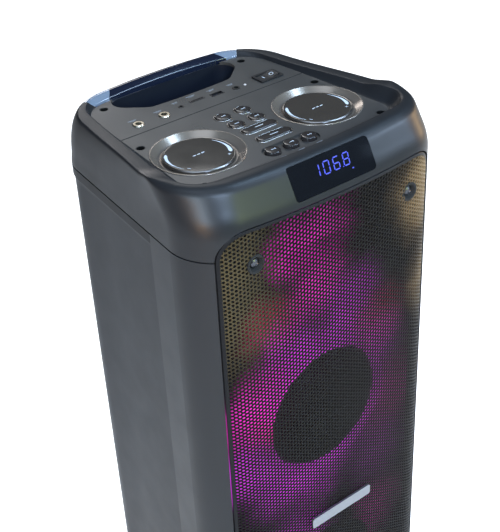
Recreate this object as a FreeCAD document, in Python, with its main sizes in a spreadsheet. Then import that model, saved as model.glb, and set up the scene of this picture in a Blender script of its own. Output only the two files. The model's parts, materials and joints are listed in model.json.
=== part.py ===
import FreeCAD, Part
import Sketcher
import math
import os

# Party speaker tower: two woofers and a horn behind a bowed steel grille, a top cap with a
# sunken control panel, and a grab handle in the rear rim.
# Frame: +Z up, -Y is the front, X = 0 is the symmetry plane, origin at the bottom centre.

# ---------------------------------------------------------------- driving dimensions (mm)
SIZES = {
    # cabinet plan and heights
    "panel_z": 832.0, "seam_z": 781.0, "crest_z": 844.5, "floor_z": 22.0, "foot_height": 12.0,
    "front_y": -147.0, "front_corner_x": 96.0, "front_corner_r": 50.0, "front_bow_r": 900.0,
    "rear_y": 147.0, "rear_corner_x": 79.5, "rear_corner_r": 48.0, "rear_bow_r": 700.0,
    "shell_wall": 5.0, "pillar_rear_y": -50.0, "side_rear_y": 132.0,
    "side_top_z": 771.0, "side_bottom_z": 34.0, "slot_depth": 7.6, "side_inset": 4.2,
    # grille
    "grille_half_w": 129.0, "grille_bottom_z": 41.0, "grille_top_z": 809.0,
    "grille_corner_r": 28.0, "grille_gap": 1.3, "grille_sheet": 1.6, "grille_inset": 1.0,
    "grille_screw_x": 93.1, "grille_screw_drop": 38.0, "grille_screw_r": 4.6,
    "badge_w": 82.0, "badge_height": 13.0,
    # baffle and drivers
    "baffle_y": -115.0, "baffle_thickness": 12.0, "baffle_half_w": 126.0,
    "woofer_high_z": 547.0, "woofer_low_z": 303.0, "woofer_flange_r": 83.0,
    "woofer_cutout_r": 72.0, "surround_out_r": 70.0, "surround_in_r": 59.0,
    "coil_r": 12.7, "magnet_r": 46.0, "horn_z": 737.0,
    "port_z": 180.0, "port_r": 28.0, "port_length": 110.0,
    # control panel and what is on it
    "panel_thickness": 3.0, "knob_x": 71.9, "knob_y": -35.0, "knob_r": 34.4, "bezel_r": 45.2,
    "knob_drop": 1.9, "dish_depth": 4.8, "shaft_r": 3.0, "running_gap": 0.05,
    "menu_y": -80.0, "trough_half_w": 32.0, "trough_half_d": 10.4, "trough_depth": 2.0,
    "groove_y": 33.5, "groove_half_w": 110.6, "groove_w": 0.8, "groove_depth": 0.6,
    "round_button_r": 7.4, "bar_button_w": 38.0, "bar_button_d": 11.5,
    "button_gap": 0.6, "button_rise": 2.6, "button_drop": 5.6, "button_lip": 1.8,
    "ring_width": 1.3, "ring_rise": 0.8,
    "rocker_x": 80.0, "rocker_y": 51.5, "rocker_w": 21.0, "rocker_d": 12.6,
    "rocker_tilt": 7.0, "rocker_pivot_drop": 1.1,
    "switch_w": 28.4, "switch_d": 18.9, "switch_rise": 1.6,
    "mic_jack_r": 3.25, "mic_ring_r": 5.9, "mic_jack_y": 50.5,
    "aux_r": 1.8, "dc_r": 2.75, "panel_screw_r": 3.6,
    # handle
    "cup_depth": 62.0, "cup_wall": 2.5, "handle_half_w": 92.0, "handle_front_y": 122.0,
    "handle_drop": 24.0, "fit_gap": 0.3,
}

V = FreeCAD.Vector
doc = FreeCAD.newDocument("party_speaker")
sheet = doc.addObject("Spreadsheet::Sheet", "dims")
for row, (alias, number) in enumerate(SIZES.items(), start=1):
    sheet.set("A%d" % row, alias)
    sheet.set("B%d" % row, "%g" % number)
    sheet.setAlias("B%d" % row, alias)
doc.recompute()

SUBPARTS = []
TOWARDS_FRONT = FreeCAD.Rotation(V(1, 0, 0), 90)


# ---------------------------------------------------------------- helpers
def value(text):
    """The length that a sum of sheet names and numbers, such as 'knob_r - 2', comes to."""
    total = 0.0
    sign = 1
    for word in str(text).split():
        if word in ("+", "-"):
            sign = 1 if word == "+" else -1
        else:
            total += sign * (float(sheet.get(word)) if word in SIZES else float(word))
            sign = 1
    return total


def bound(text):
    """The same sum as a FreeCAD expression that reads the sheet."""
    return " ".join("dims." + word if word in SIZES else word for word in str(text).split())


def keep(item, label):
    """Marks an object as a sub-part with its own file."""
    item.Label = label
    SUBPARTS.append(item)
    return item


def place(item, at, rotation=FreeCAD.Rotation()):
    """Places an object, with each coordinate bound to the sheet."""
    item.Placement = FreeCAD.Placement(V(*(value(part) for part in at)), rotation)
    for letter, part in zip("xyz", at):
        item.setExpression("Placement.Base." + letter, bound(part))
    return item


def cylinder(name, radius, height, at, rotation=FreeCAD.Rotation()):
    item = doc.addObject("Part::Cylinder", name)
    item.setExpression("Radius", bound(radius))
    item.setExpression("Height", bound(height))
    return place(item, at, rotation)


def box(name, size, at, rotation=FreeCAD.Rotation()):
    """A box whose corner is at 'at'."""
    item = doc.addObject("Part::Box", name)
    for side, length in zip(("Length", "Width", "Height"), size):
        item.setExpression(side, bound(length))
    return place(item, at, rotation)


def fuse(name, items):
    item = doc.addObject("Part::MultiFuse", name)
    item.Shapes = items
    return item


def cut(name, base, tools):
    item = doc.addObject("Part::Cut", name)
    item.Base = base
    item.Tool = tools[0] if len(tools) == 1 else fuse(name + "_tools", tools)
    return item


def group(name, items):
    """Separate solids in one sub-part."""
    item = doc.addObject("Part::Compound", name)
    item.Links = items
    return keep(item, name)


def feature(label, shape):
    """A sub-part whose shape comes from Part's own functions and the sheet's values."""
    item = doc.addObject("Part::Feature", label + "_shape")
    item.Shape = shape
    return keep(item, label)


def new_sketch(body, name, role):
    sketch = body.newObject("Sketcher::SketchObject", name)
    plane = next(item for item in body.Origin.OriginFeatures if item.Role == role)
    sketch.AttachmentSupport = (plane, [""])
    sketch.MapMode = "FlatFace"
    return sketch


def closed_profile(sketch, points):
    """Straight lines through the points, each corner held by two bound distances."""
    spots = [V(value(across), value(up), 0) for across, up in points]
    count = len(spots)
    for i in range(count):
        sketch.addGeometry(Part.LineSegment(spots[i], spots[(i + 1) % count]))
    for i in range(count):
        sketch.addConstraint(Sketcher.Constraint("Coincident", i, 2, (i + 1) % count, 1))
    for i, (across, up) in enumerate(points):
        for kind, text in (("DistanceX", across), ("DistanceY", up)):
            where = sketch.addConstraint(
                Sketcher.Constraint(kind, -1, 1, i, 1, value(text)))
            sketch.setExpression("Constraints[%d]" % where, bound(text))


def turned(label, profile, at, rotation=FreeCAD.Rotation()):
    """A body of revolution about its own Z; the profile is (radius, height) pairs."""
    body = doc.addObject("PartDesign::Body", label + "_body")
    sketch = new_sketch(body, label + "_profile", "XZ_Plane")
    closed_profile(sketch, profile)
    spin = body.newObject("PartDesign::Revolution", label + "_turn")
    spin.Profile = sketch
    spin.ReferenceAxis = (sketch, ["V_Axis"])
    spin.Angle = 360
    body.Tip = spin
    return keep(place(body, at, rotation), label)


def arc(start, middle, end):
    return Part.Arc(start, middle, end).toShape()


def outline(front, rear, inset, z):
    """Closed plan outline: bowed front and rear, round corners, straight tapering sides.

    front and rear are (y on the symmetry plane, corner centre x, corner radius, bow radius).
    """
    front_y, front_x, front_r, front_bow = front
    rear_y, rear_x, rear_r, rear_bow = rear
    front_r, front_bow, front_y = front_r - inset, front_bow - inset, front_y + inset
    rear_r, rear_bow, rear_y = rear_r - inset, rear_bow - inset, rear_y - inset
    front_hub = V(0, front_y + front_bow, z)
    rear_hub = V(0, rear_y - rear_bow, z)
    rise = math.sqrt((front_bow - front_r) ** 2 - front_x ** 2)
    front_c = V(front_x, front_hub.y - rise, z)
    rise = math.sqrt((rear_bow - rear_r) ** 2 - rear_x ** 2)
    rear_c = V(rear_x, rear_hub.y + rise, z)
    along = rear_c - front_c
    span = along.Length
    along = along / span
    tilt = (front_r - rear_r) / span
    side = along * tilt + V(along.y, -along.x, 0) * math.sqrt(1 - tilt ** 2)
    to_front = (front_c - front_hub).normalize()
    to_rear = (rear_c - rear_hub).normalize()
    right = [
        front_hub + to_front * front_bow,
        front_c + (to_front + side).normalize() * front_r,
        front_c + side * front_r,
        rear_c + side * rear_r,
        rear_c + (to_rear + side).normalize() * rear_r,
        rear_hub + to_rear * rear_bow,
    ]
    left = [V(-p.x, p.y, z) for p in right]
    return Part.Wire([
        arc(left[0], V(0, front_y, z), right[0]),
        arc(right[0], right[1], right[2]),
        Part.LineSegment(right[2], right[3]).toShape(),
        arc(right[3], right[4], right[5]),
        arc(right[5], V(0, rear_y, z), left[5]),
        arc(left[5], left[4], left[3]),
        Part.LineSegment(left[3], left[2]).toShape(),
        arc(left[2], left[1], left[0]),
    ])


def cabinet_sizes():
    front = tuple(value(name) for name in
                  ("front_y", "front_corner_x", "front_corner_r", "front_bow_r"))
    rear = tuple(value(name) for name in
                 ("rear_y", "rear_corner_x", "rear_corner_r", "rear_bow_r"))
    return front, rear


def cabinet_block(inset, bottom, top):
    """Solid column on the cabinet's plan outline, moved in by inset."""
    front, rear = cabinet_sizes()
    return upright(outline(front, rear, inset, bottom), top - bottom)


def upright(wire, height):
    return Part.Face(wire).extrude(V(0, 0, height))


def block(low, high):
    size = [b - a for a, b in zip(low, high)]
    return Part.makeBox(size[0], size[1], size[2], V(*low))


def rounded_rectangle(half_w, half_d, radius):
    """Wire about the origin in the XY plane."""
    k = radius * (1 - math.sqrt(0.5))
    x, y, r = half_w, half_d, radius
    corners = [
        (V(x, y - r, 0), V(x - k, y - k, 0), V(x - r, y, 0)),
        (V(-x + r, y, 0), V(-x + k, y - k, 0), V(-x, y - r, 0)),
        (V(-x, -y + r, 0), V(-x + k, -y + k, 0), V(-x + r, -y, 0)),
        (V(x - r, -y, 0), V(x - k, -y + k, 0), V(x, -y + r, 0)),
    ]
    edges = []
    for i, (start, middle, end) in enumerate(corners):
        edges.append(arc(start, middle, end))
        edges.append(Part.LineSegment(end, corners[(i + 1) % 4][0]).toShape())
    return Part.Wire(edges)


def slab(half_w, half_d, radius, height, at):
    """Rounded-rectangle block centred on 'at' in plan, standing on its z."""
    shape = upright(rounded_rectangle(half_w, half_d, radius), height)
    shape.translate(V(*at))
    return shape


def grille_prism(shrink):
    """Block through the front face with the grille opening's rounded outline."""
    low, high = value("grille_bottom_z"), value("grille_top_z")
    shape = upright(rounded_rectangle(value("grille_half_w") - shrink, (high - low) / 2 - shrink,
                                      value("grille_corner_r") - shrink), 80)
    shape.rotate(V(0, 0, 0), V(1, 0, 0), 90)
    shape.translate(V(0, value("baffle_y"), (low + high) / 2))
    return shape


# ---------------------------------------------------------------- top cap
PANEL_Z = value("panel_z")
PANEL_FRONT = (-106.0, 96.0, 26.0, 900.0)
PANEL_REAR = (120.0, 74.0, 35.0, 700.0)
FLARE_FRONT = (-117.0, 96.0, 40.0, 900.0)
FLARE_REAR = (160.0, 66.0, 46.0, 700.0)
CUP_FRONT = (73.0, 42.0, 18.0, 700.0)
CUP_REAR = (121.7, 58.0, 16.0, 900.0)
DISPLAY_TILT = 28.2
DISPLAY_CENTRE = V(0, -137.2, PANEL_Z - 3)


def cap_form(inset, drop):
    """The cap's outer form: upright at the seam, leaning back over the front, rounded behind."""
    front, rear = cabinet_sizes()
    front_y, front_x, front_r, front_bow = front
    rear_y, rear_x, rear_r, rear_bow = rear
    # height above the panel, front set-back, front corner growth, rear set-back
    levels = [(-51, 0, 0, 0), (-38, 0, 0, 0), (-26, 0.4, 0, 0.2), (-17, 2.6, 1, 1),
              (-3, 9.6, 4, 5), (11, 17.2, 7, 13), (19, 21.6, 9, 19)]
    wires = []
    for up, set_back, growth, rear_back in levels:
        f = (front_y + set_back, front_x - growth, front_r + growth, front_bow)
        r = (rear_y - rear_back, rear_x - 1.5 * rear_back, rear_r + rear_back, rear_bow)
        wires.append(outline(f, r, inset, PANEL_Z + up - drop))
    return Part.makeLoft(wires, True, False)


def rim_cutter():
    """Everything above the rim: low behind, higher towards the front, a wave up to the crest."""
    crest = value("crest_z")
    low, middle = PANEL_Z + 4.4, PANEL_Z + 7.8
    foot = V(0, -38, middle)
    tail = V(0, 200, low)
    sag = Part.BezierCurve()
    sag.setPoles([V(0, 75, low), V(0, 35, low), V(0, 0, middle), foot])
    wave = Part.BezierCurve()
    wave.setPoles([foot, V(0, -48, middle), V(0, -50, crest), V(0, -64, crest)])
    lid = Part.Wire([
        Part.LineSegment(tail, V(0, 75, low)).toShape(),
        sag.toShape(),
        wave.toShape(),
        Part.LineSegment(V(0, -64, crest), V(0, -200, crest)).toShape(),
        Part.LineSegment(V(0, -200, crest), V(0, -200, crest + 40)).toShape(),
        Part.LineSegment(V(0, -200, crest + 40), V(0, 200, crest + 40)).toShape(),
        Part.LineSegment(V(0, 200, crest + 40), tail).toShape(),
    ])
    shape = Part.Face(lid).extrude(V(400, 0, 0))
    shape.translate(V(-200, 0, 0))
    return shape


def rim_pocket():
    """What the rim stands round: steep at the sides, a long slope up to the crest behind."""
    return Part.makeLoft([outline(PANEL_FRONT, PANEL_REAR, -0.2, PANEL_Z),
                          outline(FLARE_FRONT, FLARE_REAR, 0, PANEL_Z + 12.6)], True, True)


def display_prism(half_w, half_h, radius, depth, inward):
    """Block square to the sloping front, centred on the display."""
    shape = upright(rounded_rectangle(half_w, half_h, radius), depth)
    shape.translate(V(0, 0, -inward))
    shape.rotate(V(0, 0, 0), V(1, 0, 0), 90 - DISPLAY_TILT)
    shape.translate(DISPLAY_CENTRE)
    return shape


def handle_block(gap):
    half = value("handle_half_w") + gap
    front = value("handle_front_y") - gap
    return block((-half, front, PANEL_Z - value("handle_drop") - gap), (half, 160, PANEL_Z + 30))


def cup_block(grow, bottom, top):
    """Column on the hand recess's outline, moved out by grow."""
    return upright(outline(CUP_FRONT, CUP_REAR, -grow, bottom), top - bottom)


def finger_hollow(grow):
    """Room for the fingers under the handle."""
    top = PANEL_Z - value("handle_drop") - value("fit_gap") - value("cup_wall") + grow
    bottom = PANEL_Z - value("cup_depth") - grow
    return block((-62 - grow, 100, bottom), (62 + grow, 129 + grow, top))


def top_cap():
    rim = rim_cutter()
    solid = cap_form(0, 0).cut(rim)
    hollow = cap_form(value("shell_wall"), 4).common(
        block((-200, -200, 700), (200, 200, PANEL_Z - 8)))
    low_floor = upright(outline(PANEL_FRONT, PANEL_REAR, -0.2, PANEL_Z - 3.2), 3.4)
    window = upright(outline(PANEL_FRONT, PANEL_REAR, 14, PANEL_Z - 20), 30)
    wall = value("cup_wall") + value("fit_gap")
    cup = cup_block(wall, PANEL_Z - 70, PANEL_Z + 1)
    hollow_under = finger_hollow(wall)
    solid = solid.cut(hollow).cut(low_floor).cut(rim_pocket()).cut(window)
    for x, y in panel_screw_spots():
        solid = solid.fuse(Part.makeCylinder(8, 16, V(x, y, PANEL_Z - 19.2)))
        solid = solid.cut(Part.makeCylinder(6.5, 10, V(x, y, PANEL_Z - 8.3)))
        solid = solid.cut(Part.makeCylinder(2.1, 30, V(x, y, PANEL_Z - 25)))
    for x, y in knob_spots():
        solid = solid.cut(Part.makeCylinder(value("bezel_r") - 0.6, 9, V(x, y, PANEL_Z - 9)))
    solid = solid.cut(cup).cut(hollow_under).cut(handle_block(value("fit_gap")))
    solid = solid.cut(grille_prism(0))
    solid = solid.cut(display_prism(47.6, 16.1, 4.1, 20, 3.7))
    solid = solid.cut(display_prism(45.0, 13.8, 1.0, 20, 16))
    return feature("top_cap", biggest(solid))


def biggest(shape):
    """Drops loose offcuts."""
    return max(shape.Solids, key=lambda solid: solid.Volume)


def display_window():
    form = cap_form(0.15, 0.1)
    behind = form.copy()
    lean = math.radians(DISPLAY_TILT)
    behind.translate(V(0, math.cos(lean), -math.sin(lean)) * 1.9)
    shape = form.common(display_prism(47.3, 15.8, 3.9, 20, 6)).cut(behind)
    return feature("display_window", biggest(shape))


def display_module():
    return feature("display_module", display_prism(43.5, 12.5, 0.8, 9, 14))


def handle_cup():
    wall = value("cup_wall")
    bottom = PANEL_Z - value("cup_depth")
    top = PANEL_Z - value("panel_thickness") - 0.2
    outer = cup_block(wall, bottom - wall, top).fuse(finger_hollow(wall))
    inner = cup_block(0, bottom, top + 5).fuse(finger_hollow(0))
    lid = block((-200, value("handle_front_y") - 0.3, PANEL_Z - value("handle_drop") - 0.3),
                (200, 200, PANEL_Z + 5))
    return feature("handle_cup", biggest(outer.cut(inner).cut(lid)))


def handle_bar():
    shape = cap_form(0, 0).cut(rim_cutter()).cut(rim_pocket()).common(handle_block(0))
    low_front = [edge for edge in shape.Edges
                 if abs(edge.CenterOfMass.y - value("handle_front_y")) < 0.5
                 and abs(edge.CenterOfMass.x) < 1]
    return feature("handle_bar", shape.makeFillet(7.0, low_front))


# ---------------------------------------------------------------- cabinet
def side_slot(inset_out, inset_in, gap, sign):
    """The layer of the side wall that a side panel fills."""
    low = (min(0, sign * 200), value("pillar_rear_y") + gap, value("side_bottom_z") + gap)
    high = (max(0, sign * 200), value("side_rear_y") - gap, value("side_top_z") - gap)
    ring = cabinet_block(inset_out, 0, 900).cut(cabinet_block(inset_in, 0, 900))
    return ring.common(block(low, high))


def cabinet():
    bottom, top = value("floor_z"), value("seam_z") - 0.2
    wall = value("shell_wall")
    gap = value("fit_gap")
    split = value("pillar_rear_y")
    shell = cabinet_block(0, bottom, top).cut(cabinet_block(2 * wall, bottom - 1, top + 1))
    front = shell.common(block((-200, -200, 0), (200, split - 0.2, 900)))
    brow = cabinet_block(wall, bottom, value("grille_bottom_z") - 4)
    brow = brow.common(block((-200, -200, 0), (200, value("baffle_y") - gap, 900)))
    front = front.fuse(brow).cut(grille_prism(0))
    feature("front_frame", biggest(front))
    rear = shell.common(block((-200, split, 0), (200, 200, 900)))
    for sign in (-1, 1):
        rear = rear.cut(side_slot(-1, value("slot_depth"), 0, sign))
    port = Part.makeCylinder(value("port_r") + 3.2, 40, V(0, 120, value("port_z")), V(0, 1, 0))
    feature("rear_cabinet", biggest(rear.cut(port)))
    for sign, name in ((-1, "left_side_panel"), (1, "right_side_panel")):
        feature(name, biggest(side_slot(value("side_inset"), value("slot_depth") - 0.2, gap, sign)))


def base_plate():
    plate = cabinet_block(1.5, value("foot_height"), value("floor_z") - 0.1)
    return feature("base_plate", plate)


def rubber_feet():
    feet = []
    for i, (x, y) in enumerate(((-95, -98), (95, -98), (-78, 100), (78, 100))):
        feet.append(cylinder("foot_%d" % i, "14", "foot_height", (x, y, 0)))
    group("rubber_feet", feet)


def front_baffle():
    half = value("baffle_half_w")
    low, high = value("floor_z") + 1, value("grille_top_z") + 3
    y = value("baffle_y")
    board = block((-half, y, low), (half, y + value("baffle_thickness"), high))
    for z in (value("woofer_high_z"), value("woofer_low_z")):
        board = board.cut(Part.makeCylinder(value("woofer_cutout_r"), 40, V(0, y - 5, z),
                                            V(0, 1, 0)))
    horn = value("horn_z")
    board = board.cut(block((-52, y - 5, horn - 18), (52, y + 30, horn + 18)))
    return feature("front_baffle", board)


def bass_port():
    r = "port_r"
    profile = [(r, "0"), ("port_r + 3", "0"), ("port_r + 3", "port_length - 1.7"),
               ("port_r + 10", "port_length - 1.7"), ("port_r + 9", "port_length"),
               ("port_r + 2.2", "port_length"), (r, "port_length - 6")]
    turned("bass_port", profile, ("0", "rear_y + 1.8 - port_length", "port_z"),
           FreeCAD.Rotation(V(1, 0, 0), -90))


# ---------------------------------------------------------------- grille
def grille():
    inset = value("grille_inset")
    ring = cabinet_block(inset, 0, 900).cut(cabinet_block(inset + value("grille_sheet"), -1, 901))
    sheet_shape = ring.common(grille_prism(value("grille_gap")))
    for x, z in grille_screw_spots():
        hole = Part.makeCylinder(7.0, 60, V(x, -170, z), V(0, 1, 0))
        sheet_shape = sheet_shape.cut(hole)
        dish = Part.makeCone(4.0, 7.2, 4.0, V(x, -139.6, z), V(0, -1, 0))
        dish = dish.cut(Part.makeCone(3.0, 6.0, 4.2, V(x, -139.4, z), V(0, -1, 0)))
        dish = dish.fuse(Part.makeCylinder(4.0, 1.0, V(x, -138.6, z), V(0, -1, 0)))
        dish = dish.cut(Part.makeCylinder(2.2, 20, V(x, -130, z), V(0, -1, 0)))
        sheet_shape = sheet_shape.fuse(dish)
    return feature("grille", biggest(sheet_shape))


def grille_screw_spots():
    drop = value("grille_screw_drop")
    x = value("grille_screw_x")
    rows = (value("grille_top_z") - drop, value("grille_bottom_z") + drop)
    return [(side * x, z) for z in rows for side in (-1, 1)]


def grille_screws():
    screws = []
    for i, (x, z) in enumerate(grille_screw_spots()):
        head = cylinder("grille_screw_head_%d" % i, "grille_screw_r - 1.9", "2.6",
                        (x, "-139.8", z), TOWARDS_FRONT)
        shank = cylinder("grille_screw_shank_%d" % i, "1.9", "24.6",
                         (x, "baffle_y - 0.6", z), TOWARDS_FRONT)
        screws.append(fuse("grille_screw_%d" % i, [head, shank]))
    group("grille_screws", screws)


def badge():
    z = (value("grille_top_z") + value("grille_bottom_z")) / 2
    shape = slab(value("badge_w") / 2, value("badge_height") / 2, 3, 2.2, (0, 0, 0))
    shape.rotate(V(0, 0, 0), V(1, 0, 0), 90)
    shape.translate(V(0, value("front_y") + 0.4, z))
    return feature("badge", shape)


# ---------------------------------------------------------------- drivers
def woofer(name, height):
    at = ("0", "baffle_y", height)
    turned(name + "_basket",
           [("surround_out_r + 0.3", "0.2"), ("woofer_flange_r", "0.2"), ("woofer_flange_r", "4"),
            ("surround_out_r + 0.3", "4"), ("surround_out_r + 0.3", "1.6"),
            ("surround_out_r - 3", "1.6"), ("magnet_r - 2", "-47"), ("17", "-47"), ("17", "-49"),
            ("magnet_r - 0.6", "-49"), ("surround_out_r - 0.4", "0.2")], at, TOWARDS_FRONT)
    turned(name + "_magnet",
           [("0", "-74"), ("magnet_r", "-74"), ("magnet_r", "-49.1"), ("coil_r + 0.9", "-49.1"),
            ("coil_r + 0.9", "-68"), ("coil_r - 0.6", "-68"), ("coil_r - 0.6", "-49.1"),
            ("0", "-49.1")], at, TOWARDS_FRONT)
    turned(name + "_voice_coil",
           [("coil_r - 0.2", "-60"), ("coil_r + 0.3", "-60"), ("coil_r + 0.3", "-30"),
            ("coil_r - 0.2", "-30")], at, TOWARDS_FRONT)
    turned(name + "_cone",
           [("0", "-9.8"), ("12", "-11.1"), ("22", "-14.8"), ("26.5", "-20.4"),
            ("coil_r + 0.4", "-31"), ("coil_r + 0.4", "-33"), ("surround_in_r - 2", "1.4"),
            ("surround_in_r", "1.4"), ("surround_in_r", "2.8"), ("surround_in_r - 3", "2.8"),
            ("29", "-18.4"), ("22", "-13"), ("12", "-9.5"), ("0", "-8.2")], at, TOWARDS_FRONT)
    turned(name + "_surround",
           [("surround_in_r + 0.1", "1.4"), ("surround_in_r + 2.4", "5"), ("64.5", "7"),
            ("surround_out_r - 2.4", "5"), ("surround_out_r", "2.2"), ("surround_out_r", "3.6"),
            ("surround_out_r - 2", "6.6"), ("64.5", "8.6"), ("surround_in_r + 2", "6.6"),
            ("surround_in_r + 0.1", "2.8")], at, TOWARDS_FRONT)
    turned(name.replace("woofer", "led_ring"),
           [("surround_out_r", "4.2"), ("woofer_flange_r - 1", "4.2"),
            ("woofer_flange_r - 3", "9"), ("surround_out_r", "9")], at, TOWARDS_FRONT)


def horn_flare(grow):
    """The horn's air space, or its outside where it is grown by the wall."""
    rings = []
    for half_w, half_d, depth in ((44, 11, -4.2), (12, 9, 46)):
        ring = rounded_rectangle(half_w + grow, half_d + grow, 4 + grow / 3)
        ring.rotate(V(0, 0, 0), V(1, 0, 0), 90)
        ring.translate(V(0, value("baffle_y") + depth, value("horn_z")))
        rings.append(ring)
    return Part.makeLoft(rings, True, True)


def tweeter_horn():
    y, z = value("baffle_y"), value("horn_z")
    plate = slab(58, 25, 6, 4, (0, 0, 0))
    plate.rotate(V(0, 0, 0), V(1, 0, 0), 90)
    plate.translate(V(0, y - 0.2, z))
    driver = Part.makeCylinder(24, 28, V(0, y + 46, z), V(0, 1, 0))
    return feature("tweeter_horn", plate.fuse(horn_flare(3)).cut(horn_flare(0)).fuse(driver))


# ---------------------------------------------------------------- knobs
def knob(name, side):
    """A low wheel in a dished bezel, on an encoder's shaft under the panel."""
    x = "knob_x" if side > 0 else "0 - knob_x"
    at = (x, "knob_y", "panel_z")
    turned(name + "_bezel",
           [("5.2", "-6"), ("bezel_r - 7.6", "-6"), ("bezel_r - 1", "-1.6"),
            ("bezel_r - 1", "0.1"), ("bezel_r", "0.1"), ("bezel_r", "0.5"),
            ("bezel_r - 1", "0.7"), ("knob_r + 1.8", "0 - dish_depth"),
            ("5.2", "0 - dish_depth")], at)
    turned(name,
           [("shaft_r + 0.02", "-6.2"), ("4.9", "-6.2"), ("4.9", "-4.2"), ("knob_r - 0.6", "-4.2"),
            ("knob_r", "-3.6"), ("knob_r", "0 - knob_drop - 0.9"),
            ("knob_r - 0.9", "0 - knob_drop"), ("0", "0 - knob_drop"),
            ("0", "0 - knob_drop - 1.2"), ("shaft_r + 0.02", "0 - knob_drop - 1.2")], at)
    turned(name + "_shaft",
           [("0", "-14"), ("shaft_r", "-14"), ("shaft_r", "0 - knob_drop - 1.3"),
            ("0", "0 - knob_drop - 1.3")], at)
    turned(name + "_encoder",
           [("shaft_r + running_gap", "-17"), ("9", "-17"), ("9", "-9"), ("4.6", "-9"),
            ("4.6", "-6.4"), ("shaft_r + running_gap", "-6.4")], at)


def knob_spots():
    return [(side * value("knob_x"), value("knob_y")) for side in (-1, 1)]


# ---------------------------------------------------------------- buttons
def round_button_spots():
    """Name, x and y of each round key that has a ring."""
    spots = ((-12.1, 7.0), (12.1, 7.0), (-12.1, -14.2), (12.1, -14.2))
    return [("round_button_%d" % (i + 1), x, y) for i, (x, y) in enumerate(spots)]


def menu_button_spots():
    """Name, x and y of each key in the trough."""
    return [("menu_button_%d" % (i + 1), x, value("menu_y"))
            for i, x in enumerate((-21.5, 0.0, 21.5))]


def bar_button_spots():
    return [("bar_button_%d" % (i + 1), 0.5, y) for i, y in enumerate((-33.0, -55.0))]


def buttons():
    top = PANEL_Z + value("button_rise")
    lip = value("button_lip")
    lip_z = PANEL_Z - value("button_drop")
    for name, x, y in round_button_spots() + menu_button_spots():
        turned(name,
               [("0", "0"), ("round_button_r + button_lip", "0"),
                ("round_button_r + button_lip", "1.2"), ("round_button_r", "1.2"),
                ("round_button_r", "button_drop + button_rise - 1"),
                ("round_button_r - 1", "button_drop + button_rise - 0.1"),
                ("0", "button_drop + button_rise")], (x, y, "panel_z - button_drop"))
    half_w, half_d = value("bar_button_w") / 2, value("bar_button_d") / 2
    for name, x, y in bar_button_spots():
        foot = slab(half_w + lip, half_d + lip, half_d + lip - 0.01, 1.2, (x, y, lip_z))
        stem = slab(half_w, half_d, half_d - 0.01, top - lip_z, (x, y, lip_z))
        rim = [edge for edge in stem.Edges if abs(edge.CenterOfMass.z - top) < 0.01]
        feature(name, foot.fuse(stem.makeChamfer(0.9, rim)))


def button_rings():
    gap, width, rise = value("button_gap"), value("ring_width"), value("ring_rise")
    z = PANEL_Z + 0.05
    rings = []
    for name, x, y in round_button_spots():
        r = value("round_button_r") + gap
        ring = Part.makeCylinder(r + width, rise, V(x, y, z)).cut(
            Part.makeCylinder(r, rise + 2, V(x, y, z - 1)))
        rings.append(ring)
    half_w, half_d = value("bar_button_w") / 2 + gap, value("bar_button_d") / 2 + gap
    for name, x, y in bar_button_spots():
        ring = slab(half_w + width, half_d + width, half_d + width - 0.01, rise, (x, y, z))
        rings.append(ring.cut(slab(half_w, half_d, half_d - 0.01, rise + 2, (x, y, z - 1))))
    return feature("button_rings", Part.makeCompound(rings))


def button_board():
    """Circuit board with one tact switch under each key."""
    board = block((-48, -94, PANEL_Z - 14), (48, 20, PANEL_Z - 12.4))
    for x, y in knob_spots():
        board = board.cut(Part.makeCylinder(14, 10, V(x, y, PANEL_Z - 16)))
    for name, x, y in round_button_spots() + menu_button_spots() + bar_button_spots():
        board = board.fuse(block((x - 3, y - 3, PANEL_Z - 12.4), (x + 3, y + 3, PANEL_Z - 9)))
        board = board.fuse(Part.makeCylinder(1.7, 2, V(x, y, PANEL_Z - 9)))
    return feature("button_board", board)


# ---------------------------------------------------------------- control panel
def control_panel():
    thick = value("panel_thickness")
    z = PANEL_Z - thick
    plate = upright(outline(PANEL_FRONT, PANEL_REAR, 0.1, z), thick)
    for x, y in panel_screw_spots():
        plate = plate.fuse(Part.makeCylinder(6.2, 5, V(x, y, z - 4.9)).common(
            upright(outline(PANEL_FRONT, PANEL_REAR, 0.1, z - 6), 10)))
    holes = [cup_block(0, z - 20, z + 20)]
    tall = 30
    for x, y in knob_spots():
        holes.append(Part.makeCylinder(value("bezel_r") - 0.9, tall, V(x, y, z - 10)))
    for name, x, y in round_button_spots() + menu_button_spots():
        holes.append(Part.makeCylinder(value("round_button_r") + 0.5, tall, V(x, y, z - 10)))
    half_w, half_d = value("bar_button_w") / 2 + 0.5, value("bar_button_d") / 2 + 0.5
    for name, x, y in bar_button_spots():
        holes.append(slab(half_w, half_d, half_d - 0.01, tall, (x, y, z - 10)))
    holes.append(slab(value("switch_w") / 2 - 1, value("switch_d") / 2 - 1, 1.5, tall,
                      (value("rocker_x"), value("rocker_y"), z - 10)))
    for x, y, r in socket_spots():
        holes.append(Part.makeCylinder(r, tall, V(x, y, z - 10)))
    for x, y, half_x, half_y in slot_spots():
        holes.append(slab(half_x, half_y, 0.4, tall, (x, y, z - 10)))
    trough = value("trough_half_d")
    holes.append(slab(value("trough_half_w"), trough, trough - 0.01, tall,
                      (0, value("menu_y"), PANEL_Z - value("trough_depth"))))
    groove = value("groove_half_w")
    y = value("groove_y")
    holes.append(block((-groove, y, PANEL_Z - value("groove_depth")),
                       (groove, y + value("groove_w"), PANEL_Z + 1)))
    for x, y in panel_screw_spots():
        holes.append(Part.makeCylinder(4.4, 20, V(x, y, z - 3.4)))
        holes.append(Part.makeCylinder(2.1, 20, V(x, y, z - 12)))
    for hole in holes:
        plate = plate.cut(hole)
    return feature("control_panel", biggest(plate))


def panel_screw_spots():
    return [(side * x, y) for x, y in ((85.8, 103.0), (106.0, 8.3), (104.5, -88.9))
            for side in (-1, 1)]


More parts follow.
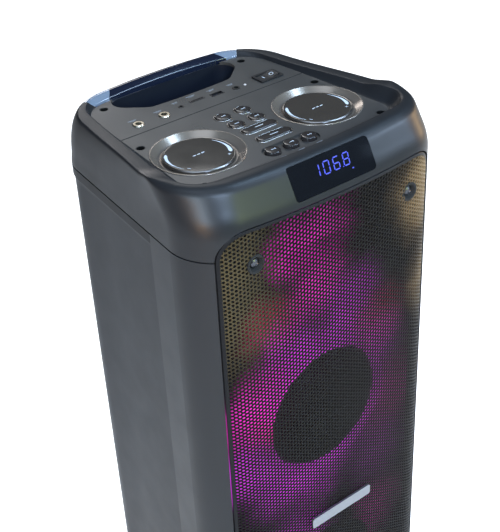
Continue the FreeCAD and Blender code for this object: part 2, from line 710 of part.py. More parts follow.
def socket_spots():
    """Round holes for the jacks, the charging socket and the pilot light: x, y, radius."""
    y = value("mic_jack_y")
    return [(-80, y, 4.7), (-50, y, 4.7), (-26.8, 55, 3.3), (39.4, 52, 4.1)]


def slot_spots():
    """Card slot and charging port: x, y, half width, half depth."""
    return [(-6, 57, 8.9, 2.1), (17, 54.5, 7.5, 3.5)]


def panel_screws():
    screws = []
    for i, (x, y) in enumerate(panel_screw_spots()):
        head = cylinder("panel_screw_head_%d" % i, "panel_screw_r", "2.2",
                        (x, y, "panel_z - panel_thickness - 3.3"))
        shank = cylinder("panel_screw_shank_%d" % i, "1.9", "12",
                         (x, y, "panel_z - panel_thickness - 14"))
        screws.append(fuse("panel_screw_%d" % i, [head, shank]))
    group("panel_screws", screws)


# ---------------------------------------------------------------- sockets
def sockets():
    for i, x in enumerate((-80, -50)):
        turned("mic_jack_%d" % (i + 1),
               [("mic_jack_r", "-26"), ("mic_jack_r", "1.3"), ("mic_ring_r - 0.8", "1.3"),
                ("mic_ring_r", "0.1"), ("4.5", "0.1"), ("4.5", "-4.5"), ("7.5", "-4.5"),
                ("7.5", "-29"), ("0", "-29"), ("0", "-26")], (x, "mic_jack_y", "panel_z"))
    turned("aux_jack",
           [("aux_r", "-13"), ("aux_r", "0.3"), ("3", "0.3"), ("3", "-4.5"), ("5", "-4.5"),
            ("5", "-15"), ("0", "-15"), ("0", "-13")], (-26.8, 55, "panel_z"))
    turned("charging_socket",
           [("0", "-11"), ("0", "-3"), ("0.6", "-3"), ("0.6", "-10"), ("dc_r", "-10"),
            ("dc_r", "0.6"), ("3.9", "0.6"), ("3.9", "-4.5"), ("6", "-4.5"), ("6", "-12"),
            ("0", "-12")], (39.4, 52, "panel_z"))
    shell = box("usb_shell", ("14.4", "6.4", "14"), ("9.8", "51.3", "panel_z - 13.6"))
    hollow = box("usb_hollow", ("13", "5", "13"), ("10.5", "52", "panel_z - 12.6"))
    tongue = box("usb_tongue", ("11", "1.9", "10.6"), ("11.5", "54.9", "panel_z - 12.6"))
    keep(fuse("usb_port", [cut("usb_can", shell, [hollow]), tongue]), "usb_port")
    holder = box("card_holder", ("17.2", "3.6", "16"), ("-14.6", "55.2", "panel_z - 15.6"))
    slit = box("card_slit", ("15", "1.4", "15"), ("-13.5", "56.3", "panel_z - 14.4"))
    keep(cut("card_slot", holder, [slit]), "card_slot")


def power_switch():
    x, y = value("rocker_x"), value("rocker_y")
    z = PANEL_Z + 0.1
    rise = value("switch_rise")
    flange = slab(value("switch_w") / 2, value("switch_d") / 2, 1.6, rise, (x, y, z))
    can = slab(value("switch_w") / 2 - 1.2, value("switch_d") / 2 - 1.2, 1.2, 20, (x, y, z - 20))
    mouth = block((x - 11.4, y - 6.8, z - 17), (x + 11.4, y + 6.8, z + 5))
    feature("power_switch_frame", flange.fuse(can).cut(mouth))
    half, depth = value("rocker_w") / 2, value("rocker_d")
    tilt = value("rocker_tilt")
    wing = half * math.tan(math.radians(tilt))
    corners = [V(-half, 0, 1.6 + wing), V(0, 0, 2.2), V(half, 0, 1.6 + wing),
               V(half * 0.8, 0, -4.4), V(0, 0, -6.4), V(-half * 0.8, 0, -4.4)]
    edges = [Part.LineSegment(corners[i], corners[(i + 1) % 6]).toShape() for i in range(6)]
    paddle = Part.Face(Part.Wire(edges)).extrude(V(0, depth, 0))
    paddle.translate(V(0, -depth / 2, 0))
    paddle.rotate(V(0, 0, 0), V(0, 1, 0), -tilt)
    paddle.translate(V(x, y, PANEL_Z - value("rocker_pivot_drop")))
    return feature("power_rocker", paddle)


# ---------------------------------------------------------------- electronics
def electronics():
    base = box("amplifier_base", ("170", "4", "140"), ("-85", "92", "530"))
    chips = []
    for i in range(9):
        chips.append(box("amplifier_fin_%d" % i, ("3", "22", "100"),
                         (-64 + 16 * i, "70.5", "565")))
    for i, x in enumerate((-30, 10)):
        chips.append(cylinder("amplifier_can_%d" % i, "9", "40", (x, 83.2, 535)))
    keep(fuse("amplifier_board", [base] + chips), "amplifier_board")
    keep(box("battery_pack", ("150", "70", "62"), ("-75", "-20", "floor_z + 0.1")),
         "battery_pack")


# ---------------------------------------------------------------- build, check, write
top_cap()
display_window()
display_module()
handle_cup()
handle_bar()
cabinet()
base_plate()
rubber_feet()
front_baffle()
bass_port()
grille()
grille_screws()
badge()
woofer("woofer_upper", "woofer_high_z")
woofer("woofer_lower", "woofer_low_z")
tweeter_horn()
knob("mic_knob", -1)
knob("volume_knob", 1)
buttons()
button_rings()
button_board()
control_panel()
panel_screws()
sockets()
power_switch()
electronics()
doc.recompute()

for item in doc.Objects:
    if any(word in item.State for word in ("Invalid", "Error")):
        raise RuntimeError("%s failed: %s" % (item.Label, item.State))
for item in SUBPARTS:
    if item.Shape.isNull() or not item.Shape.isValid():
        raise RuntimeError("%s has no valid shape" % item.Label)

os.makedirs("parts", exist_ok=True)
for item in SUBPARTS:
    item.Shape.exportStep("parts/%s.step" % item.Label)
print(len(SUBPARTS), "sub-parts written")
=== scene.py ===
import bmesh
import bpy
import json
import math
import numpy as np
from mathutils import Matrix, Vector


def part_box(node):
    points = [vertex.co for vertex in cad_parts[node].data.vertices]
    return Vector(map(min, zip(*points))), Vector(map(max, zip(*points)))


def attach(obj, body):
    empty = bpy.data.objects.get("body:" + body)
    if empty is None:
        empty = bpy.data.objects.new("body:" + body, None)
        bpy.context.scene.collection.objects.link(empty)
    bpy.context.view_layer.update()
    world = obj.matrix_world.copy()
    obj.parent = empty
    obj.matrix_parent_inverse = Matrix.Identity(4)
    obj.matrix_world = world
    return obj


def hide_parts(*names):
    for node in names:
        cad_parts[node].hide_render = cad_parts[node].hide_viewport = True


# Looks of the party speaker. Lengths are in millimetres in the CAD frame until a mesh is made:
# +Z up, -Y the front, X = 0 the symmetry plane, the floor at Z = 0.

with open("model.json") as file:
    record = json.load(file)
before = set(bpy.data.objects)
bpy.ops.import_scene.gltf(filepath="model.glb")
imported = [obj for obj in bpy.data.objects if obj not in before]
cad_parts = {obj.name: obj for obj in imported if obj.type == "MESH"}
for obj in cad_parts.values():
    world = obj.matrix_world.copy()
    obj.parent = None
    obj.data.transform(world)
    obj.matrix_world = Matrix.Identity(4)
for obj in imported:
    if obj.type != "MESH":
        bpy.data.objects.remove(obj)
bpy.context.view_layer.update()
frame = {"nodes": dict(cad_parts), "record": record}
MM = 0.001


def cad(node):
    """Lowest corner, highest corner and centre of a CAD node, in mm."""
    low, high = (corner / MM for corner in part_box(node))
    return low, high, (low + high) / 2


PANEL_Z = cad("volume_knob_bezel")[1].z - 0.7
SEAM_Z = cad("top_cap")[0].z
CREST = cad("top_cap")[1].z - PANEL_Z


# ------------------------------ materials
def node_tree(name):
    material = bpy.data.materials.new(name)
    material.use_nodes = True
    tree = material.node_tree
    return material, tree, tree.nodes["Principled BSDF"]


def add(tree, kind, **settings):
    node = tree.nodes.new("ShaderNode" + kind)
    for field, choice in settings.items():
        setattr(node, field, choice)
    return node


def remapped(tree, source, start=(0, 1), end=(0, 1), kind="LINEAR"):
    """The source's value carried from one range to another."""
    node = add(tree, "MapRange", interpolation_type=kind)
    for socket, level in zip(("From Min", "From Max", "To Min", "To Max"), (*start, *end)):
        node.inputs[socket].default_value = level
    tree.links.new(source, node.inputs["Value"])
    return node.outputs["Result"]


def vector_math(tree, operation, source, other=None, scale=None):
    """Vector sum on a socket and a second socket, fixed vector or fixed scale."""
    node = add(tree, "VectorMath", operation=operation)
    tree.links.new(source, node.inputs[0])
    if isinstance(other, tuple):
        node.inputs[1].default_value = other
    elif other is not None:
        tree.links.new(other, node.inputs[1])
    if scale is not None:
        node.inputs["Scale"].default_value = scale
    return node.outputs["Value" if operation in ("DISTANCE", "DOT_PRODUCT") else "Vector"]


def noise(tree, grain_mm, detail=2.0):
    """Noise in object space whose blobs are about grain_mm across."""
    place = add(tree, "TexCoord")
    texture = add(tree, "TexNoise")
    texture.inputs["Scale"].default_value = 1 / (grain_mm * MM)
    texture.inputs["Detail"].default_value = detail
    tree.links.new(place.outputs["Object"], texture.inputs["Vector"])
    return texture


def finish(name, colour, rough, grain=0.7, bump=0.0, metallic=0.0, coat=0.0,
           specular=0.5, spread=0.06):
    """A surface whose colour and gloss wander a little, with an optional fine grain."""
    material, tree, shader = node_tree(name)
    shader.inputs["Metallic"].default_value = metallic
    shader.inputs["Coat Weight"].default_value = coat
    shader.inputs["Coat Roughness"].default_value = 0.04
    shader.inputs["Specular IOR Level"].default_value = specular
    cloud = noise(tree, 30.0)
    tone = add(tree, "Mix", data_type="RGBA")
    tone.inputs["A"].default_value = [c * 0.9 for c in colour] + [1]
    tone.inputs["B"].default_value = [min(1, c * 1.1) for c in colour] + [1]
    tree.links.new(cloud.outputs["Fac"], tone.inputs["Factor"])
    tree.links.new(tone.outputs["Result"], shader.inputs["Base Color"])
    gloss = remapped(tree, cloud.outputs["Fac"],
                     end=(max(0.02, rough - spread), min(1, rough + spread)))
    tree.links.new(gloss, shader.inputs["Roughness"])
    if bump:
        speck = noise(tree, grain)
        relief = add(tree, "Bump")
        relief.inputs["Strength"].default_value = bump
        relief.inputs["Distance"].default_value = 0.1 * MM
        tree.links.new(speck.outputs["Fac"], relief.inputs["Height"])
        tree.links.new(relief.outputs["Normal"], shader.inputs["Normal"])
    return material


def glow(name, colour, strength):
    """A lit surface, a little uneven."""
    material, tree, shader = node_tree(name)
    shader.inputs["Base Color"].default_value = (0.02, 0.02, 0.02, 1)
    shader.inputs["Emission Color"].default_value = list(colour) + [1]
    level = remapped(tree, noise(tree, 4.0).outputs["Fac"], end=(0.8 * strength, 1.2 * strength))
    tree.links.new(level, shader.inputs["Emission Strength"])
    return material


def pool_field(tree, spots, offset=(0, 0)):
    """Sum of soft ragged pools: (x, z from the panel, radius, colour, strength)."""
    place = add(tree, "NewGeometry").outputs["Position"]
    nudge = vector_math(tree, "SCALE", noise(tree, 26.0, 3.0).outputs["Color"],
                        scale=2 * RAGGED * MM)
    flat = vector_math(tree, "MULTIPLY", vector_math(tree, "ADD", place, nudge), (1, 0, 1))
    total = None
    for x, z, radius, colour, strength in spots:
        spot = ((x + RAGGED + offset[0]) * MM, 0, (PANEL_Z + z + RAGGED + offset[1]) * MM)
        away = vector_math(tree, "DISTANCE", flat, spot)
        pool = add(tree, "VectorMath", operation="SCALE")
        pool.inputs[0].default_value = [c * strength for c in colour]
        tree.links.new(remapped(tree, away, (radius * MM, 0.0), kind="SMOOTHERSTEP"),
                       pool.inputs["Scale"])
        pool = pool.outputs["Vector"]
        total = pool if total is None else vector_math(tree, "ADD", total, pool)
    return total


def lit_baffle(name):
    """Dark board with soft pools of coloured light on it."""
    material, tree, shader = node_tree(name)
    shader.inputs["Base Color"].default_value = (0.012, 0.011, 0.014, 1)
    shader.inputs["Roughness"].default_value = 0.7
    tree.links.new(pool_field(tree, POOLS, BEHIND), shader.inputs["Emission Color"])
    shader.inputs["Emission Strength"].default_value = 1.0
    return material


def sheet_with_painted_reflections(name):
    """Dark lacquered sheet with painted olive and tan reflections in its upper corners."""
    material = finish(name, TAN_REFLECTION, 0.42, bump=0.05, specular=0.06)
    tree = material.node_tree
    # The pools, the sheet's dark colour and its painted reflections, take the place of the finish's own
    # colour.
    tree.links.new(pool_field(tree, SHEET_TONE_AND_REFLECTIONS), tree.nodes["Principled BSDF"].inputs["Base Color"])
    return material


# Lengths in mm: how far the edges of a pool wander, and how far the boards behind the sheet
# seem to lie to the left and above when they are seen through it from the camera's side.
RAGGED = 17
BEHIND = (22, -24)
MAGENTA = (0.74, 0.02, 0.50)
ORCHID = (0.58, 0.03, 0.66)
ROSE = (0.62, 0.02, 0.11)
# Light behind the sheet, placed where the camera sees it on the sheet.
POOLS = [(-47, -54, 50, MAGENTA, 1.0), (-64, -72, 34, MAGENTA, 0.7), (-11, -56, 50, MAGENTA, 0.7),
         (-24, -114, 58, MAGENTA, 1.3), (20, -150, 62, ORCHID, 1.0), (-62, -168, 56, ORCHID, 1.0),
         (-79, -136, 52, ROSE, 0.6), (-94, -210, 56, MAGENTA, 1.0), (-119, -236, 52, MAGENTA, 1.1),
         (-96, -256, 36, ROSE, 0.5), (-117, -297, 60, ORCHID, 1.2), (-74, -338, 70, ORCHID, 1.4),
         (-27, -354, 64, ORCHID, 1.2), (8, -320, 60, ORCHID, 1.1), (35, -282, 56, ORCHID, 0.9),
         (-34, -196, 50, ORCHID, 1.0), (-66, -226, 46, ORCHID, 1.1), (6, -186, 46, ORCHID, 0.9),
         (55, -221, 60, ORCHID, 0.9), (79, -300, 74, MAGENTA, 0.6), (62, -372, 70, ORCHID, 0.6),
         (60, -190, 60, ROSE, 0.6), (-60, -433, 70, ORCHID, 1.0), (60, -460, 64, MAGENTA, 0.8),
         (0, -660, 80, MAGENTA, 1.0), (-80, -609, 60, ORCHID, 0.9), (80, -609, 60, MAGENTA, 0.8),
         (0, -762, 80, ORCHID, 0.6)]
OLIVE_REFLECTION = (0.064, 0.048, 0.023)
TAN_REFLECTION = (0.26, 0.165, 0.08)
# Colour of the sheet: dark all over, with painted olive and tan reflections in its upper corners.
SHEET_TONE_AND_REFLECTIONS = [(-140, -110, 105, OLIVE_REFLECTION, 1.0), (-120, -40, 70, OLIVE_REFLECTION, 0.6), (140, -60, 90, TAN_REFLECTION, 1.0),
         (150, -170, 70, TAN_REFLECTION, 0.7), (20, -300, 500, (0.02, 0.017, 0.015), 0.5)]

LOOKS = {
    "cap_plastic": finish("cap_plastic", (0.012, 0.013, 0.015), 0.40, bump=0.10, grain=0.5,
                          specular=0.34),
    "cabinet_plastic": finish("cabinet_plastic", (0.010, 0.010, 0.010), 0.42, bump=0.10,
                              specular=0.15),
    "side_plastic": finish("side_plastic", (0.020, 0.022, 0.025), 0.46, bump=0.14,
                           specular=0.22),
    "panel_plastic": finish("panel_plastic", (0.046, 0.043, 0.040), 0.30, bump=0.05),
    "handle_gloss": finish("handle_gloss", (0.006, 0.009, 0.020), 0.10, coat=0.6),
    # The bar's ends: their light blue-grey colour is a painted reflection.
    "handle_sheen": finish("handle_sheen", (0.155, 0.19, 0.245), 0.12, coat=0.6),
    "cup_plastic": finish("cup_plastic", (0.006, 0.008, 0.014), 0.35),
    "grille_steel": sheet_with_painted_reflections("grille_steel"),
    "sheet_edge": finish("sheet_edge", (0.007, 0.007, 0.008), 0.4, specular=0.15),
    "screw_steel": finish("screw_steel", (0.10, 0.10, 0.11), 0.32, metallic=1.0),
    "dark_steel": finish("dark_steel", (0.004, 0.004, 0.004), 0.6, specular=0.1),
    "badge_metal": finish("badge_metal", (0.30, 0.30, 0.32), 0.38, metallic=1.0),
    "display_glass": finish("display_glass", (0.004, 0.005, 0.007), 0.06, coat=0.3),
    "display_board": finish("display_board", (0.01, 0.02, 0.01), 0.5),
    "knob_gloss": finish("knob_gloss", (0.046, 0.037, 0.030), 0.14, coat=0.3),
    "bezel_chrome": finish("bezel_chrome", (0.25, 0.21, 0.175), 0.24, metallic=0.6, spread=0.03),
    "button_gloss": finish("button_gloss", (0.022, 0.018, 0.017), 0.20, coat=0.2),
    "ring_chrome": finish("ring_chrome", (0.30, 0.29, 0.28), 0.30, metallic=1.0),
    "circuit_board": finish("circuit_board", (0.02, 0.10, 0.04), 0.5),
    "battery_wrap": finish("battery_wrap", (0.05, 0.12, 0.30), 0.4),
    "socket_metal": finish("socket_metal", (0.52, 0.47, 0.38), 0.34, metallic=1.0),
    "socket_black": finish("socket_black", (0.008, 0.008, 0.008), 0.4),
    "port_steel": finish("port_steel", (0.09, 0.09, 0.10), 0.35, metallic=1.0),
    "switch_plastic": finish("switch_plastic", (0.012, 0.012, 0.013), 0.45, specular=0.25),
    "baffle_board": lit_baffle("baffle_board"),
    "cone_paper": finish("cone_paper", (0.020, 0.018, 0.022), 0.6, bump=0.2),
    "surround_rubber": finish("surround_rubber", (0.018, 0.016, 0.02), 0.45),
    "magnet_ferrite": finish("magnet_ferrite", (0.03, 0.03, 0.03), 0.6),
    "coil_copper": finish("coil_copper", (0.75, 0.36, 0.20), 0.35, metallic=1.0),
    "white_print": finish("white_print", (0.62, 0.66, 0.72), 0.5),
    "faint_print": finish("faint_print", (0.20, 0.21, 0.23), 0.5),
    "segment_blue": glow("segment_blue", (0.035, 0.06, 0.95), 1.1),
    "pilot_light": glow("pilot_light", (0.75, 0.85, 1.0), 0.8),
    "seam_shadow": finish("seam_shadow", (0.003, 0.003, 0.003), 0.8),
}


def linked(name, data):
    """A new scene object on this data."""
    item = bpy.data.objects.new(name, data)
    bpy.context.scene.collection.objects.link(item)
    return item


def piece(name, points, faces, look, body="cabinet", stands_for=(), slot=None, sharp=35.0):
    """One mesh object, from points in mm, riding on a CAD body."""
    mesh = bpy.data.meshes.new(name)
    mesh.from_pydata((np.asarray(points, float) * MM).tolist(), [], faces)
    work = bmesh.new()
    work.from_mesh(mesh)
    bmesh.ops.remove_doubles(work, verts=work.verts, dist=1e-7)
    bmesh.ops.recalc_face_normals(work, faces=work.faces)
    work.to_mesh(mesh)
    work.free()
    mesh.materials.append(LOOKS[look])
    item = linked(name, mesh)
    shade(item, sharp)
    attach(item, body)
    if stands_for:
        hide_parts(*stands_for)
    return item


def shade(item, sharp):
    """Smooth shading, broken at edges sharper than the given angle."""
    item.data.shade_smooth()
    item.data.set_sharp_from_angle(angle=math.radians(sharp))


def loft(rings, around=True, along=False, ends=False):
    """Points and faces through rings of equal length; along joins the last ring to the first."""
    count = len(rings[0])
    points = [tuple(p) for ring in rings for p in ring]
    faces = []
    rows = len(rings) if along else len(rings) - 1
    for i in range(rows):
        a, b = i * count, (i + 1) % len(rings) * count
        for j in range(count if around else count - 1):
            k = (j + 1) % count
            faces.append((a + j, a + k, b + k, b + j))
    if ends:
        faces.append(tuple(range(count)))
        faces.append(tuple(reversed(range((len(rings) - 1) * count, len(rings) * count))))
    return points, faces


def bezier(a, b, c, steps):
    """Points of a quadratic curve, both ends included."""
    a, b, c = (np.asarray(p, float) for p in (a, b, c))
    t = np.linspace(0, 1, steps + 1)[:, None]
    return (1 - t) ** 2 * a + 2 * t * (1 - t) * b + t ** 2 * c


def softened(profile, radius, steps=3):
    """A (radius, height) profile with its inner corners rounded."""
    points = [np.asarray(p, float) for p in profile]
    out = [points[0]]
    for before, here, after in zip(points, points[1:], points[2:]):
        back, ahead = before - here, after - here
        cut = min(radius, 0.45 * np.linalg.norm(back), 0.45 * np.linalg.norm(ahead))
        start = here + back / np.linalg.norm(back) * cut
        end = here + ahead / np.linalg.norm(ahead) * cut
        out.extend(bezier(start, here, end, steps))
    out.append(points[-1])
    return out


def turned(profile, centre, count=72, towards="z", closed=False):
    """Points and faces of a body of revolution about the vertical, or about the front axis."""
    rings = []
    for r, h in profile:
        ring = []
        for i in range(count):
            a = 2 * math.pi * i / count
            across, up = r * math.cos(a), r * math.sin(a)
            spot = (across, up, h) if towards == "z" else (across, -h, up)
            ring.append(tuple(c + s for c, s in zip(centre, spot)))
        rings.append(ring)
    return loft(rings, along=closed)


def prism(outline, low, high):
    """Points and faces of an upright block on a plan outline."""
    return loft([[(x, y, z) for x, y in outline] for z in (low, high)], ends=True)


def merged(parts):
    """Several (points, faces) sets as one."""
    points, faces = [], []
    for some_points, some_faces in parts:
        start = len(points)
        points.extend(some_points)
        faces.extend(tuple(i + start for i in face) for face in some_faces)
    return points, faces


def rounded_rectangle(half_w, half_h, radius, steps=8):
    outline = []
    for corner, (sx, sy) in enumerate(((1, 1), (-1, 1), (-1, -1), (1, -1))):
        for i in range(steps + 1):
            a = math.radians(90 * (corner + i / steps))
            outline.append((sx * (half_w - radius) + radius * math.cos(a),
                            sy * (half_h - radius) + radius * math.sin(a)))
    return outline


def smooth(t):
    t = np.clip(t, 0, 1)
    return t * t * (3 - 2 * t)


# ------------------------------ plan outlines
# Each end is (y on the symmetry plane, corner centre x, corner radius, bow radius).
CABINET_FRONT = (cad("front_frame")[0].y, 96.0, 50.0, 900.0)
CABINET_REAR = (-cad("front_frame")[0].y, 79.5, 48.0, 700.0)
COUNTS = (16, 28, 60, 20, 14)


def half_outline(front, rear, counts=COUNTS):
    """The x >= 0 half of a plan outline, front centre to rear centre."""
    front_y, front_x, front_r, front_bow = front
    rear_y, rear_x, rear_r, rear_bow = rear
    front_hub = np.array((0, front_y + front_bow))
    rear_hub = np.array((0, rear_y - rear_bow))
    rise = math.sqrt((front_bow - front_r) ** 2 - front_x ** 2)
    front_c = np.array((front_x, front_hub[1] - rise))
    rise = math.sqrt((rear_bow - rear_r) ** 2 - rear_x ** 2)
    rear_c = np.array((rear_x, rear_hub[1] + rise))
    span = np.linalg.norm(rear_c - front_c)
    along = (rear_c - front_c) / span
    tilt = (front_r - rear_r) / span
    side = along * tilt + np.array((along[1], -along[0])) * math.sqrt(1 - tilt ** 2)
    a_front = math.atan2(*(front_c - front_hub)[::-1])
    a_side = math.atan2(side[1], side[0])
    a_rear = math.atan2(*(rear_c - rear_hub)[::-1])
    start, end = front_c + side * front_r, rear_c + side * rear_r
    parts = []
    arcs = ((front_hub, front_bow, -math.pi / 2, a_front), (front_c, front_r, a_front, a_side),
            None, (rear_c, rear_r, a_side, a_rear), (rear_hub, rear_bow, a_rear, math.pi / 2))
    for spec, count in zip(arcs, counts):
        t = np.arange(count) / count
        if spec is None:
            parts.append(start + (end - start) * t[:, None])
            continue
        hub, radius, a, b = spec
        angle = a + (b - a) * t
        parts.append(hub + radius * np.stack((np.cos(angle), np.sin(angle)), 1))
    parts.append(np.array([(0.0, rear_y)]))
    return np.concatenate(parts)


def inset_by(ends, inset):
    """The same outline moved in."""
    (front_y, front_x, front_r, front_bow), (rear_y, rear_x, rear_r, rear_bow) = ends
    return ((front_y + inset, front_x, front_r - inset, front_bow - inset),
            (rear_y - inset, rear_x, rear_r - inset, rear_bow - inset))


def mirrored(half):
    """Whole loop from the half outline of any number of coordinates, x first."""
    left = half[-2:0:-1].copy()
    left[..., 0] *= -1
    return np.concatenate((half, left))


# ------------------------------ top cap and handle
# Height above the panel, front set-back, front corner growth, rear set-back.
CAP_LEVELS = ((-51, 0, 0, 0), (-38, 0, 0, 1.2), (-26, 0.4, 0, 2.0), (-17, 2.6, 1, 3.2),
              (-3, 9.6, 4, 6.6), (11, 17.2, 7, 13.5), (19, 21.6, 9, 19))
RIM_IN = ((-113, 103, 28.5, 900), (133.5, 66.5, 41, 600))
FOOT = ((-105, 94, 25, 900), (121, 72.5, 34.7, 700))
GRIP_FOOT = ((-105, 94, 25, 900), (126.5, 72.5, 34.7, 450))
PANEL = ((-106, 96, 26, 900), (120, 74, 35, 700))
HANDLE_DROP = 24.0
WALL = 5.0
COLUMNS = sum(COUNTS) + 1
OPENING_HALF_W = 129.0
OPENING_CORNER = 28.0
OPENING_GAP = 1.3


def level_at(u):
    """Cap level between the given ones, on smooth cubics."""
    table = np.array(CAP_LEVELS, float)
    h = table[:, 0]
    slopes = np.gradient(table[:, 1:], h, axis=0)
    slopes[0] = 0
    i = int(np.clip(np.searchsorted(h, u) - 1, 0, len(h) - 2))
    gap = h[i + 1] - h[i]
    t = (u - h[i]) / gap
    a, b = table[i, 1:], table[i + 1, 1:]
    return ((2 * t ** 3 - 3 * t ** 2 + 1) * a + (t ** 3 - 2 * t ** 2 + t) * gap * slopes[i]
            + (3 * t ** 2 - 2 * t ** 3) * b + (t ** 3 - t ** 2) * gap * slopes[i + 1])


def cap_ends(u):
    """Both ends of the cap's outline at height u above the panel."""
    back, growth, rear = level_at(u)
    front_y, front_x, front_r, front_bow = CABINET_FRONT
    rear_y, rear_x, rear_r, rear_bow = CABINET_REAR
    return ((front_y + back, front_x - growth, front_r + growth, front_bow),
            (rear_y - rear, rear_x - 1.5 * rear, rear_r + rear, rear_bow))


CAP_U = np.linspace(-51, 16, 68)
CAP_TABLE = np.stack([half_outline(*cap_ends(u)) for u in CAP_U])


def cap_point(j, u):
    """Point of the cap's outer form in column j at height u above the panel."""
    x = np.interp(u, CAP_U, CAP_TABLE[:, j, 0])
    y = np.interp(u, CAP_U, CAP_TABLE[:, j, 1])
    return np.array((x, y, PANEL_Z + u))


def rim_height(y):
    """Height of the rim above the panel: low behind, higher towards the front crest."""
    low = 4.4 + 3.4 * smooth((75 - y) / 113)
    return float(low + (CREST - low) * smooth((-38 - y) / 26))


def rim_section(j, top_trim, outer_trim):
    """Outer wall from its foot up, over the rim, to the inner crease, for one column."""
    inner = half_outline(*RIM_IN)[j]
    u = 5.0
    for _ in range(2):
        u = rim_height(cap_point(j, u)[1])
    crease = cap_point(j, u)
    inside = np.array((inner[0], inner[1], PANEL_Z + rim_height(inner[1])))
    across = inside - crease
    width = np.linalg.norm(across)
    landing = crease + across / width * min(top_trim, width - 2.5)
    roll = bezier(cap_point(j, u - outer_trim), crease, landing, 8)
    edge_start = inside - across / width * 1.2
    return u - outer_trim, roll, edge_start, inside


def trims(y):
    """How far the rim's rounding reaches over the top and down the outside."""
    front = float(smooth((-52 - y) / 40))
    return 2.2 + 10.8 * front, 3.5 + 3.5 * front


def cap_shell():
    """Cap moulding: outer form, rim, inner wall, ledge for the panel, and inner skin."""
    foot = half_outline(*FOOT)
    ledge = half_outline(*inset_by(PANEL, -0.25))
    skins = [(half_outline(*inset_by(cap_ends(u), WALL)), PANEL_Z + u - WALL)
             for u in (-6, -16, -28, SEAM_Z - PANEL_Z + WALL)]
    bottom = half_outline(*inset_by((CABINET_FRONT, CABINET_REAR), 1.0))
    rings = []
    for j in range(COLUMNS):
        start, roll, edge, inside = rim_section(j, *trims(CAP_TABLE[-10, j, 1]))
        rows = [np.array((*bottom[j], SEAM_Z)), np.array((*bottom[j], SEAM_Z + 0.3))]
        rows += [cap_point(j, u) for u in np.linspace(-49.6, start, 24)[:-1]]
        rows += list(roll)
        low = min(0.03, inside[2] - PANEL_Z - 0.4)
        base = np.array((*foot[j], PANEL_Z + low))
        bend = base + 0.3 * (inside - base)
        bend[2] = base[2] + 0.08 * (inside[2] - base[2])
        wall = bezier(inside, bend, base, 10)
        rows += list(bezier(edge, inside, wall[1], 4))
        rows += list(wall[2:])
        rows.append(np.array((*ledge[j], PANEL_Z + low)))
        rows.append(np.array((*ledge[j], PANEL_Z - 3.3)))
        rows += [np.array((*skin[j], z)) for skin, z in skins]
        rings.append(np.array(rows))
    full = mirrored(np.array(rings))
    points, faces = loft(full, along=True)
    cap = piece("cap_shell", points, faces, "cap_plastic", stands_for=("top_cap",))
    carve(cap, cap_openings())


def cap_openings():
    """What is cut out of the cap for the grille, the display and the handle."""
    low, high, middle = cad("grille")
    opening = rounded_rectangle(OPENING_HALF_W, (high.z - low.z) / 2 + OPENING_GAP, OPENING_CORNER)
    front_cut = loft([[(x, y, middle.z + z) for x, z in opening] for y in (-170, -116)], ends=True)
    screen = rounded_rectangle(47.6, 16.1, 4.1)
    display_cut = loft([[display_point(a, b, d) for a, b in screen] for d in (-3.7, 16)],
                       ends=True)
    (front_x, front_y), (rear_x, rear_y) = HANDLE_END
    plan = [(front_x + 0.2, front_y), (rear_x + 0.2, rear_y), (rear_x + 0.2, 170)]
    plan += [(-x, y) for x, y in reversed(plan)]
    handle_cut = prism(plan, PANEL_Z - HANDLE_DROP - 0.3, PANEL_Z + 40)
    return merged((front_cut, display_cut, handle_cut))


def carve(item, cutter_shape):
    """Cuts a closed shape out of a piece."""
    cutter = piece("cutter", *cutter_shape, "seam_shadow")
    modifier = item.modifiers.new("carve", "BOOLEAN")
    modifier.operation = "DIFFERENCE"
    modifier.solver = "MANIFOLD"
    modifier.object = cutter
    bpy.context.view_layer.update()
    graph = bpy.context.evaluated_depsgraph_get()
    mesh = bpy.data.meshes.new_from_object(item.evaluated_get(graph))
    item.modifiers.clear()
    item.data = mesh
    bpy.data.objects.remove(cutter)
    shade(item, 35.0)


DISPLAY_LEAN = math.radians(90 - 28.2)
DISPLAY_CENTRE = (0.0, -137.2, PANEL_Z - 3)


def display_point(across, up, out):
    """Point in the display's own frame: across, up the slope, and out of it."""
    cos, sin = math.cos(DISPLAY_LEAN), math.sin(DISPLAY_LEAN)
    return (DISPLAY_CENTRE[0] + across, DISPLAY_CENTRE[1] + up * cos - out * sin,
            DISPLAY_CENTRE[2] + up * sin + out * cos)


# Plan points of the joint at the bar's end, and the x range of the dark part of the bar.
HANDLE_END = ((76.0, 98.0), (117.0, 150.0))
GRIP_ENDS = (-68.0, 79.0)
FRONT_ROW = -9


def handle_ring(j):
    """Section of the grab bar: outer wall, crest, slope to the front, underside."""
    start, roll, edge, inside = rim_section(j, 6.0, 5.0)
    bottom = -HANDLE_DROP
    foot = np.array((*half_outline(*GRIP_FOOT)[j], PANEL_Z + 0.4))
    low = foot.copy()
    low[1] = min(low[1], 122.0)
    low[2] = PANEL_Z + bottom
    outside = cap_point(j, bottom)
    outward = outside - low
    outward /= np.linalg.norm(outward)
    rows = [cap_point(j, u) for u in np.linspace(bottom, start, 9)[:-1]] + list(roll)
    rows += list(bezier(edge, inside, inside + 0.25 * (foot - inside), 4))
    rows += list(bezier(inside + 0.93 * (foot - inside), foot, foot + 0.035 * (low - foot), 5))
    rows += list(bezier(low + (0, 0, 7), low, low + outward * 7, 5))
    return np.array(rows)


